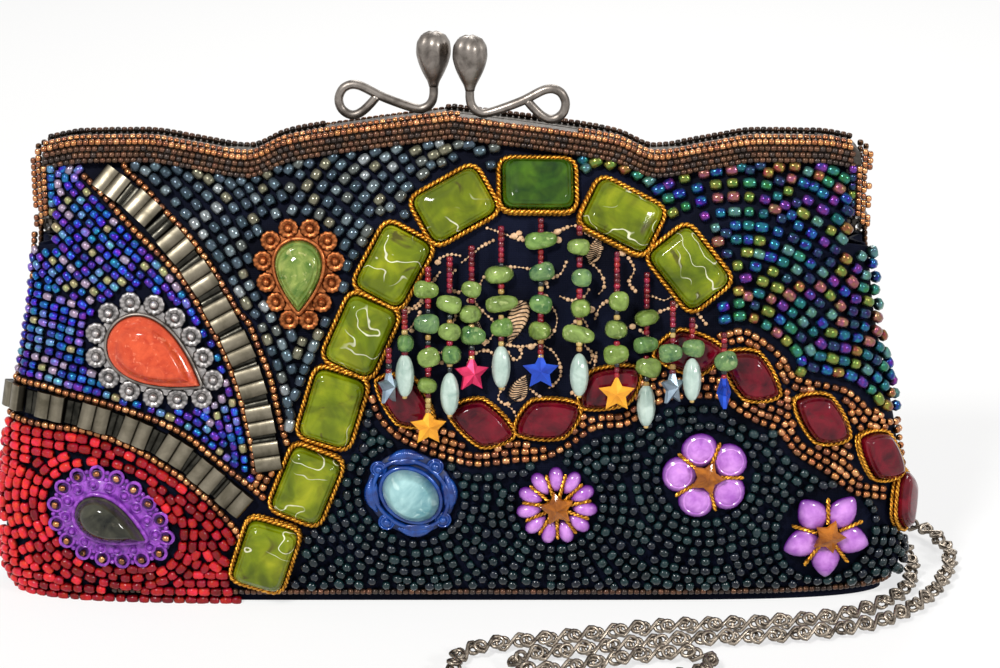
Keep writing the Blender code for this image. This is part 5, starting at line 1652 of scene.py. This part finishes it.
class EVENING_BAG_OT_cabochons(bpy.types.Operator):
    """Model the four large stones and their settings"""

    bl_idname = "evening_bag.cabochons"
    bl_label = "Cabochons and settings"

    def execute(self, context):
        dome = ((0.0, 0.15), (0.015, 0.3), (0.045, 0.44), (0.09, 0.57), (0.15, 0.68), (0.23, 0.78),
                (0.33, 0.87), (0.45, 0.935), (0.6, 0.978), (0.8, 1.0))
        for name, (place, turn, stone, pointed, setting, lobes) in CABOCHONS.items():
            length, width, height = (share * LAYOUT for share in stone)
            outer, inner = (share * LAYOUT for share in setting)
            frame = ornament_frame(place, turn, outer, inner)
            setting_slot, coat, stone_slot = CABOCHON_FINISHES[name]
            wire, bezel = (0.0005, "gunmetal") if name == "coral" else (0.0006, coat)
            oval = tip_outline(length, width, pointed)
            tray = Tray(f"{name}_stone")
            tray.add(domed_shape(name, oval, height, dome),
                     frame @ Matrix.Translation((0, 0, SETTING_FLOOR + GAP)), name)
            tray.finish("bag", stone_slot, (f"{name}_cabochon",))

            tray = Tray(f"{name}_frame")
            tray.add(tube_shape("bezel", [(wider(oval, 0.0003, 90, 0.0021), True)], wire, 2), frame, bezel)
            add_plate(tray, frame, wider(oval, 0.0007, 60), 0.0018, 0.6, 0.01, bezel)
            if name in ("coral", "green_drop"):
                add_daisies(tray, frame, oval, 1.07 if name == "coral" else 1.0, lobes, coat)
            elif name == "black":
                add_filigree(tray, frame, oval, lobes, coat)
            else:
                add_scrolls(tray, frame, oval, outer, inner, coat)
            tray.finish("bag", setting_slot, (f"{name}_setting",), 60)
        return {"FINISHED"}


class EVENING_BAG_OT_flowers(bpy.types.Operator):
    """Model the three violet flowers"""

    bl_idname = "evening_bag.flowers"
    bl_label = "Flowers"

    def execute(self, context):
        ply = context.scene.bag_sizes.cord_ply * 0.75
        for name, (place, turn, share, petals, length, width, narrowing) in FLOWERS.items():
            radius = share * LAYOUT
            frame = ornament_frame(place, turn, radius * 2, radius * 2)
            tray = Tray(f"{name}_glass")
            petal = petal_shape("petal", length, width, 0.0018 if petals == 5 else 0.0021, narrowing)
            tilt = Matrix.Translation((radius - length, 0, 0.0008)) @ Matrix.Rotation(-0.04, 4, "Y")
            wraps = []
            for k in range(petals):
                angle = 2 * math.pi * (k + 0.5) / petals
                spin = frame @ Matrix.Rotation(angle, 4, "Z")
                tray.add(petal, spin @ tilt, "petal")
                if name == "round_petal_flower":
                    ring = Matrix.Translation((radius - length + length * 0.52, 0, 0.0021))
                    tray.add(ring_shape("petal_ring", 0.0032, 0.0003, 26), spin @ ring, "petal")
                wrap = frame @ Matrix.Rotation(angle + math.pi / petals, 4, "Z")
                line = [wrap @ Vector((at, 0, 0.0014 + 0.0012 * (1 - at / radius)))
                        for at in (radius * 0.25, radius * 0.42, radius * 0.6, radius * 0.84)]
                wraps += cord_lines(evenly(through(line, 0.0006), 0.00034), frame, ply, False)
            tray.add(tube_shape("wraps", wraps, ply), Matrix(), "cord")
            angle = math.radians({11: 10, 5: -22}[petals] - turn)
            tray.add(star_shape("eye", 0.0045, 0.0042, 0.56), frame @ place_at((0, 0, 0.0034), 1, angle),
                     "amber")
            tray.finish("bag", "violet_petal", (name,), 50)
        return {"FINISHED"}


def band_frame(place, before, after, length, width):
    """A tile's seat in a band, turned along the way from one place to another."""
    flat = face_matrix(*place)
    way = face_matrix(*after).translation - face_matrix(*before).translation
    way = flat.to_3x3().inverted() @ way
    return seat(flat @ Matrix.Rotation(math.atan2(way.y, way.x), 4, "Z"), length, width)


class EVENING_BAG_OT_bands(bpy.types.Operator):
    """Model the two bands of ribbed tiles"""

    bl_idname = "evening_bag.bands"
    bl_label = "Tile bands"

    def execute(self, context):
        length, width, height = TILE_SIZE
        tile = barrel_tile_shape("tile", length * 1.2, width * 1.04, height)
        side = barrel_tile_shape("painted_shade_tile", length * 0.62, width * 0.94, height * 0.6)
        for name, places in (("upper", UPPER_BAND), ("lower", LOWER_BAND)):
            tray = Tray(f"{name}_band_tiles")
            # Painted shade: dark low pieces between the tiles stand in for the shade between them
            for before, after in zip(places, places[1:]):
                middle = ((before[0] + after[0]) / 2, (before[1] + after[1]) / 2)
                tray.add(side, band_frame(middle, before, after, length * 0.6, width), "painted_shade_tile")
            for k, place in enumerate(places):
                before, after = places[max(k - 1, 0)], places[min(k + 1, len(places) - 1)]
                tray.add(tile, band_frame(place, before, after, length, width), "tile")
            tray.finish("bag", "hematite", (f"{name}_tube_band",), 40)
        return {"FINISHED"}


class EVENING_BAG_OT_lace(bpy.types.Operator):
    """Lay the lace behind the fringe"""

    bl_idname = "evening_bag.lace"
    bl_label = "Lace"

    def execute(self, context):
        picot = context.scene.bag_sizes.lace_picot
        tray = Tray("lace")
        ball, thread = SHAPES["ball"], "lace"
        threads = []
        for curl in LACE_CURLS:
            points = []
            for spot in evenly(through([on_cloth(pixel) for pixel in curl], 0.001), picot * 2.6):
                frame = cloth_frame(spot.x, spot.y, Vector((1, 0)), FABRIC / 2 + picot * 0.7)
                size = picot * random.choice((0.65, 0.9, 1.1, 1.4))
                tray.add(ball, frame @ Matrix.Diagonal((size, size, size * 0.8, 1)), thread)
                points.append(frame.translation)
            threads.append((points, False))
        stitches = []
        for start, end, wide in LACE_FANS:
            a, b = on_cloth(start), on_cloth(end)
            middle, way = (a + b) / 2, (b - a)
            frame = cloth_frame(middle.x, middle.y, way.normalized(), FABRIC / 2 + 0.0001)
            outline = tip_outline(way.length, wide, True, 32)
            tray.add(domed_shape("leaf", outline, 0.0005, ((0.0, 0.5), (0.15, 1.0))), frame, thread)
            for k in range(11):
                x = way.length * (0.46 - 0.92 * k / 10)
                reach = wide * 0.5 * math.sqrt(max(0, 1 - (2 * x / way.length) ** 2)) + 0.0004
                stitches.append(([frame @ Vector((x + 0.0012 * math.cos(n), reach * (n / 2 - 1), 0.00062))
                                  for n in range(5)], False))
        tray.add(tube_shape("stitches", stitches, 0.00014, 0), Matrix(), "lining")
        for pixel in LACE_BLOBS:
            spot = on_cloth(pixel)
            frame = cloth_frame(spot.x, spot.y, Vector((1, 0)), FABRIC / 2 + 0.0003)
            size = random.uniform(0.0005, 0.0009)
            tray.add(ball, frame @ Matrix.Diagonal((size * 1.2, size, size * 0.7, 1)), thread)
        tray.add(tube_shape("threads", threads, 0.00007, 0), Matrix(), thread)
        tray.finish("bag")
        return {"FINISHED"}


def chip_shape(k):
    """A rounded chip with a wobble of its own."""
    def place(x, y, z):
        wobble = 1 + 0.12 * math.sin(3 * x + k) + 0.1 * math.cos(4 * y + 2 * k)
        x, y, z = Vector((x, y, z)) * wobble
        powers = ((x, 0.75), (y, 0.9), (z, 0.75))
        return [math.copysign(abs(value) ** power, value) for value, power in powers]
    return ball_shape(f"chip_{k}", 14, 9, place)


def ribbed(x, y, z):
    rib = 1 + 0.06 * math.cos(8 * math.atan2(y, x))
    return (x * rib, y * rib, z)


class EVENING_BAG_OT_fringe(bpy.types.Operator):
    """String the fringe with its chips, stars and drops"""

    bl_idname = "evening_bag.fringe"
    bl_label = "Fringe"

    def execute(self, context):
        chips = [chip_shape(k) for k in range(4)]
        drop = ball_shape("ribbed_drop", 24, 14, ribbed)
        star = star_shape("pendant_star", STAR_RADIUS * 1.09, 0.0036, 0.5)
        seed, strand = SHAPES["seed"], "strand"
        half = DROP_LENGTH / 2
        columns = [item[0] for item in FRINGE]
        for number, (x, depth, top, lean, foot, pendant, turn) in enumerate(FRINGE, 1):
            name = f"fringe_strand_{number:02}"
            tray = Tray(f"{name}_beads")
            frame = Matrix.Translation((x, -depth, top)) @ Matrix.Rotation(-math.radians(lean), 4, "X")
            length = (top - foot * BODY_HEIGHT) / math.cos(math.radians(lean))
            reach = length - half - CHIP_LENGTH / 2
            count = max(1, min(len(CHIP_SHARES), int(reach / (CHIP_LENGTH * 2))))
            middles = [reach * share for share in CHIP_SHARES[-count:]
                       if reach * share >= CHIP_LENGTH / 2 + 2 * SEED_RADIUS]
            room = min(abs(x - other) for other in columns if other != x) / 2
            for k, middle in enumerate(middles):
                wide = min(random.choice((0.0027, 0.0031, 0.004)), room + 0.0004)
                size = (wide, 0.0019, random.uniform(0.0018, 0.0023))
                tilt = Matrix.Rotation(random.uniform(-0.3, 0.3) if wide > 0.0024 else 0, 4, "Y")
                shift = random.uniform(-0.0005, 0.0005)
                spot = Matrix.Translation((shift, 0, -middle)) @ tilt @ Matrix.Diagonal((*size, 1))
                tray.add(chips[(number + k) % 4], frame @ spot, "chip")
            end = length - (half if pendant == "drop" else STAR_RADIUS * 0.8)
            at = 0
            while at < end:
                if all(abs(at - middle) > 0.0022 for middle in middles):
                    tone = random.choice((0.05, 0.2, 0.9)) if at < length * 0.25 else random.random()
                    size = SEED_RADIUS * 2 * random.uniform(1.05, 1.25)
                    tray.add(seed, frame @ place_at((0, 0, -at), (size, size, 0.00135)), strand, tone)
                at += 0.0013
            if pendant == "drop":
                size = (0.0022, 0.0021, half * 1.02)
                tray.add(drop, frame @ place_at((0, 0, -length), size), "drop")
                tray.add(seed, frame @ place_at((0, 0, -length - half), (0.0013, 0.0013, 0.001)), strand, 0.6)
            else:
                upright = Matrix.Translation((0, 0, -length)) @ Matrix.Rotation(math.radians(turn), 4, "Z")
                tray.add(star, frame @ (upright @ Matrix.Rotation(math.pi / 2, 4, "X")), pendant)
            tray.finish(f"strand_{number:02}", "chip_glass", (name,))
        return {"FINISHED"}


def bud_shape():
    """The clasp's knob, with grooves that deepen towards its tip."""
    shares = tuple((height, radius) for radius, height in KNOB_SHARES)
    steps = 20
    profile = [(KNOB_RADIUS * smooth(shares, (steps - k) / steps), KNOB_HEIGHT * (steps - k) / steps)
               for k in range(steps + 1)]
    bud = turned_shape("bud", [(0, KNOB_HEIGHT), *profile, (0, 0)], 36)
    for vertex in bud.vertices:
        height = vertex.co.z / KNOB_HEIGHT
        groove = abs(math.cos(math.atan2(vertex.co.y, vertex.co.x) * 2.5 + 0.5))
        scale = 1 - 0.16 * min(max((height - 0.3) * 2.5, 0), 1) * (1 - groove) ** 1.5
        vertex.co.x *= scale
        vertex.co.y *= scale
        if height > 0.9:
            vertex.co.z += 0.0003 * groove
    return bud


class EVENING_BAG_OT_metalwork(bpy.types.Operator):
    """Finish the frame and model the clasp and the chain rings"""

    bl_idname = "evening_bag.metalwork"
    bl_label = "Frame, clasp and rings"

    def execute(self, context):
        metal = "gunmetal"
        for node in ("front_bow", "back_bow", "left_hinge_rivet", "right_hinge_rivet"):
            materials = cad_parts[node].data.materials
            if not len(materials):
                materials.append(None)
            for k in range(len(materials)):
                materials[k] = FINISHES["bow"]
        base = top_height(0) + CLASP_WIRE + GAP
        for name, side, hand, body in (("front_clasp", -1, 1, "bag"), ("back_clasp", 1, -1, "back_frame")):
            arm = []
            for along, rise in ARM_SHARES:
                x = KNOB_OFFSET + along * CLASP_LENGTH
                fall = base - top_height(x) - CLASP_WIRE - GAP
                height = base - fall * (1 - rise) + rise * CLASP_RISE
                arm.append(Vector((hand * x, side * BOW_OFFSET, height)))
            tray = Tray(f"{name}_bud")
            tray.add(tube_shape("arm", [(through(arm, 0.0006), False)], CLASP_WIRE, 3), Matrix(), metal)
            foot = base + CLASP_RISE - CLASP_WIRE
            place = Matrix.Translation((hand * KNOB_OFFSET, side * BOW_OFFSET, foot))
            tray.add(bud_shape(), place, metal)
            tray.finish(body, "aged_gunmetal", (name,))
        ring = ring_shape("ring", RING_RADIUS, RING_WIRE, 36, 10)
        for name, hand in (("left_chain_ring", -1), ("right_chain_ring", 1)):
            tray = Tray(f"{name}_wire")
            turn = Matrix.Rotation(math.pi / 2, 4, "Y")
            tray.add(ring, Matrix.Translation(ring_centre(hand)) @ turn, metal)
            tray.finish("bag", "aged_gunmetal", (name,))
        return {"FINISHED"}


def ring_centre(hand):
    """The ring hangs over the web of the hinge's lug."""
    x = FRAME_HALF_WIDTH + GAP + 0.0002 + 0.0015
    rise = 0.0004 + RING_WIRE + GAP
    return Vector((hand * x, 0.0086 - 0.0008, HINGE_HEIGHT + rise - RING_RADIUS))


def chain_route():
    """The chain's middle line, as in the solids."""
    def end(hand):
        slant = Vector((0, 1, -1)).normalized()
        start = ring_centre(hand) + slant * (RING_RADIUS + RING_WIRE + GAP)
        return [start, start + slant * CHAIN_RADIUS * 2]

    drop = [Vector(point) for point in CHAIN_DROP]
    floor = [Vector((x, y, CHAIN_FLOOR)) for x, y in CHAIN_FLOOR_ROUTE]
    left = [Vector((-point.x, point.y, point.z)) for point in reversed(drop)]
    route = end(1)[1:] + drop + floor + left + end(-1)[1:]
    return [end(1)[0]] + through(route, CHAIN_STEP) + [end(-1)[0]]


class EVENING_BAG_OT_chain(bpy.types.Operator):
    """Model the scroll-link chain"""

    bl_idname = "evening_bag.chain"
    bl_label = "Chain"

    def execute(self, context):
        wire = context.scene.bag_sizes.chain_wire
        points = []
        for step in range(17):
            share = step / 16
            angle = math.pi / 2 - 2.5 * math.pi * (1 - share)
            reach = 0.45 + 1.5 * share
            points.append(Vector((1.95 + 1.16 * reach * math.cos(angle), 0.92 * reach * math.sin(angle),
                                  0.3 * math.cos(share * 8))) / 1000)
        points += [Vector()] + [Vector((-point.x, -point.y, point.z)) for point in reversed(points)]
        link = tube_shape("scroll_link", [(through(points, 0.0008), False)], wire)
        # Painted shade: each link darker on its lower side
        paint_shade(link, -wire * 2.2, wire * 0.6, 0)
        route = chain_route()
        grain, reach, length_of_link = 0.0001, 30, 0.006
        line = evenly(through(route, 0.0006), grain)
        links = round(len(line) * grain / length_of_link)
        tray = Tray("chain_links")
        for k in range(links):
            at = int((k + 0.5) * len(line) / links)
            way = (line[min(at + reach, len(line) - 1)] - line[max(at - reach, 0)]).normalized()
            flat = abs(way.z) < 0.75
            side = Vector((0, 0, 1) if flat else (0, 1, 0)).cross(way).normalized()
            frame = axes(way, side, way.cross(side))
            frame.translation = line[at]
            lean = math.radians(50) * side.y if flat else 0
            roll = lean + math.radians(random.choice((7, 12)) if k % 2 else random.choice((-7, -12)))
            shift = Matrix.Translation((0, 0, 0.0004 if k % 2 else -0.0004))
            tray.add(link, frame @ Matrix.Rotation(roll, 4, "X") @ shift, "chain")
        chain = tray.finish("bag", "aged_gunmetal", ("chain_strap",))
        length = sum((b - a).length for a, b in zip(route, route[1:]))
        tuple(route[0])
        [tuple(point) for point in route]
        return {"FINISHED"}


# The stage: share of white that the camera sees on the floor, light of the sky, each lamp's name, place,
# size and power, the point that the lamps aim at, and the lens
FLOOR_WHITE = 0.7


SKY_STRENGTH = 0.32


LAMPS = (("key", (-0.4, -0.8, 0.85), 0.19, 12.0), ("fill", (0.75, -0.6, 0.5), 0.13, 4.2),
         ("back", (0.1, 0.8, 0.8), 0.4, 5.0))


LAMP_AIM = Vector((0, 0, 0.05))


LENS = 93.6


def seen(tree):
    """One for camera, glossy and transmission rays."""
    rays = add_node(tree, "ShaderNodeLightPath").outputs
    found = rays["Is Camera Ray"]
    for name in ("Is Glossy Ray", "Is Transmission Ray"):
        found = add_node(tree, "ShaderNodeMath", {0: found, 1: rays[name]}, operation="MAXIMUM").outputs[0]
    return found


class EVENING_BAG_OT_stage(bpy.types.Operator):
    """Set the floor, the lamps and the camera"""

    bl_idname = "evening_bag.stage"
    bl_label = "Stage"

    def execute(self, context):
        scene = context.scene
        colours = scene.bag_colours
        material = bpy.data.materials.new("pale_floor")
        material.use_nodes = True
        tree = material.node_tree
        tree.nodes.clear()
        plain = add_node(tree, "ShaderNodeBsdfDiffuse", {"Color": (*colours.floor, 1)}).outputs[0]
        white = add_node(tree, "ShaderNodeEmission").outputs[0]
        share = add_node(tree, "ShaderNodeMath", {0: seen(tree), 1: FLOOR_WHITE}, operation="MULTIPLY")
        mixed = add_node(tree, "ShaderNodeMixShader", {0: share.outputs[0], 1: plain, 2: white})
        add_node(tree, "ShaderNodeOutputMaterial", {"Surface": mixed.outputs[0]})
        bm = bmesh.new()
        bmesh.ops.create_grid(bm, x_segments=1, y_segments=1, size=4)
        floor = shape_from(bm, "floor")
        floor.materials.append(material)
        thing = new_piece("floor", floor, None)

        world = bpy.data.worlds.new("studio")
        world.use_nodes = True
        scene.world = world
        tree = world.node_tree
        soft = tree.nodes["Background"]
        soft.inputs["Color"].default_value = (1, 1, 1, 1)
        soft.inputs["Strength"].default_value = SKY_STRENGTH
        bright = add_node(tree, "ShaderNodeBackground", {"Color": (1, 1, 1, 1), "Strength": 1})
        parts = {0: seen(tree), 1: soft.outputs[0], 2: bright.outputs[0]}
        mixed = add_node(tree, "ShaderNodeMixShader", parts)
        tree.links.new(mixed.outputs[0], tree.nodes["World Output"].inputs["Surface"])

        for name, place, size, power in LAMPS:
            lamp = bpy.data.lights.new(name, "AREA")
            lamp.size = size
            lamp.energy = power
            lamp.color = colours.lamp
            thing = new_piece(name, lamp, None)
            thing.location = place
            thing.rotation_euler = (LAMP_AIM - Vector(place)).to_track_quat("-Z", "Y").to_euler()

        camera = bpy.data.cameras.new("camera")
        camera.sensor_width = 36
        camera.lens = LENS
        thing = new_piece("camera", camera, None)
        thing.location = CAMERA_PLACE
        thing.rotation_euler = (CAMERA_TILT, 0, 0)
        scene.camera = thing
        scene.view_settings.view_transform = "Standard"
        return {"FINISHED"}


OPERATORS = (EVENING_BAG_OT_stage, EVENING_BAG_OT_chain, EVENING_BAG_OT_cloth, EVENING_BAG_OT_bead_rows,
             EVENING_BAG_OT_bead_fields, EVENING_BAG_OT_edging, EVENING_BAG_OT_stones,
             EVENING_BAG_OT_gold_cord, EVENING_BAG_OT_cabochons, EVENING_BAG_OT_flowers,
             EVENING_BAG_OT_bands, EVENING_BAG_OT_lace, EVENING_BAG_OT_fringe, EVENING_BAG_OT_metalwork)


class EVENING_BAG_PT_panel(bpy.types.Panel):
    """Lists the steps that model the bag"""

    bl_idname = "EVENING_BAG_PT_panel"
    bl_label = "Evening bag"
    bl_space_type = "VIEW_3D"
    bl_region_type = "UI"
    bl_category = "Evening bag"

    def draw(self, context):
        layout = self.layout
        for group in (context.scene.bag_sizes, context.scene.bag_colours):
            for name in group.__annotations__:
                layout.prop(group, name)
        for operator in OPERATORS:
            layout.operator(operator.bl_idname)


CLASSES = (BagSizes, BagColours, *OPERATORS, EVENING_BAG_PT_panel)


def register():
    for item in CLASSES:
        bpy.utils.register_class(item)
    bpy.types.Scene.bag_sizes = PointerProperty(type=BagSizes)
    bpy.types.Scene.bag_colours = PointerProperty(type=BagColours)


def unregister():
    del bpy.types.Scene.bag_colours
    del bpy.types.Scene.bag_sizes
    for item in reversed(CLASSES):
        bpy.utils.unregister_class(item)


def main():
    register()
    for make, rows in FINISH_ROWS.items():
        FINISHES.update({key: make(*values) for key, values in rows.items()})
    make_shapes()
    note_ornaments()
    for operator in OPERATORS:
        getattr(bpy.ops.evening_bag, operator.bl_idname.split(".")[1])()


if __name__ == "__main__":
    main()
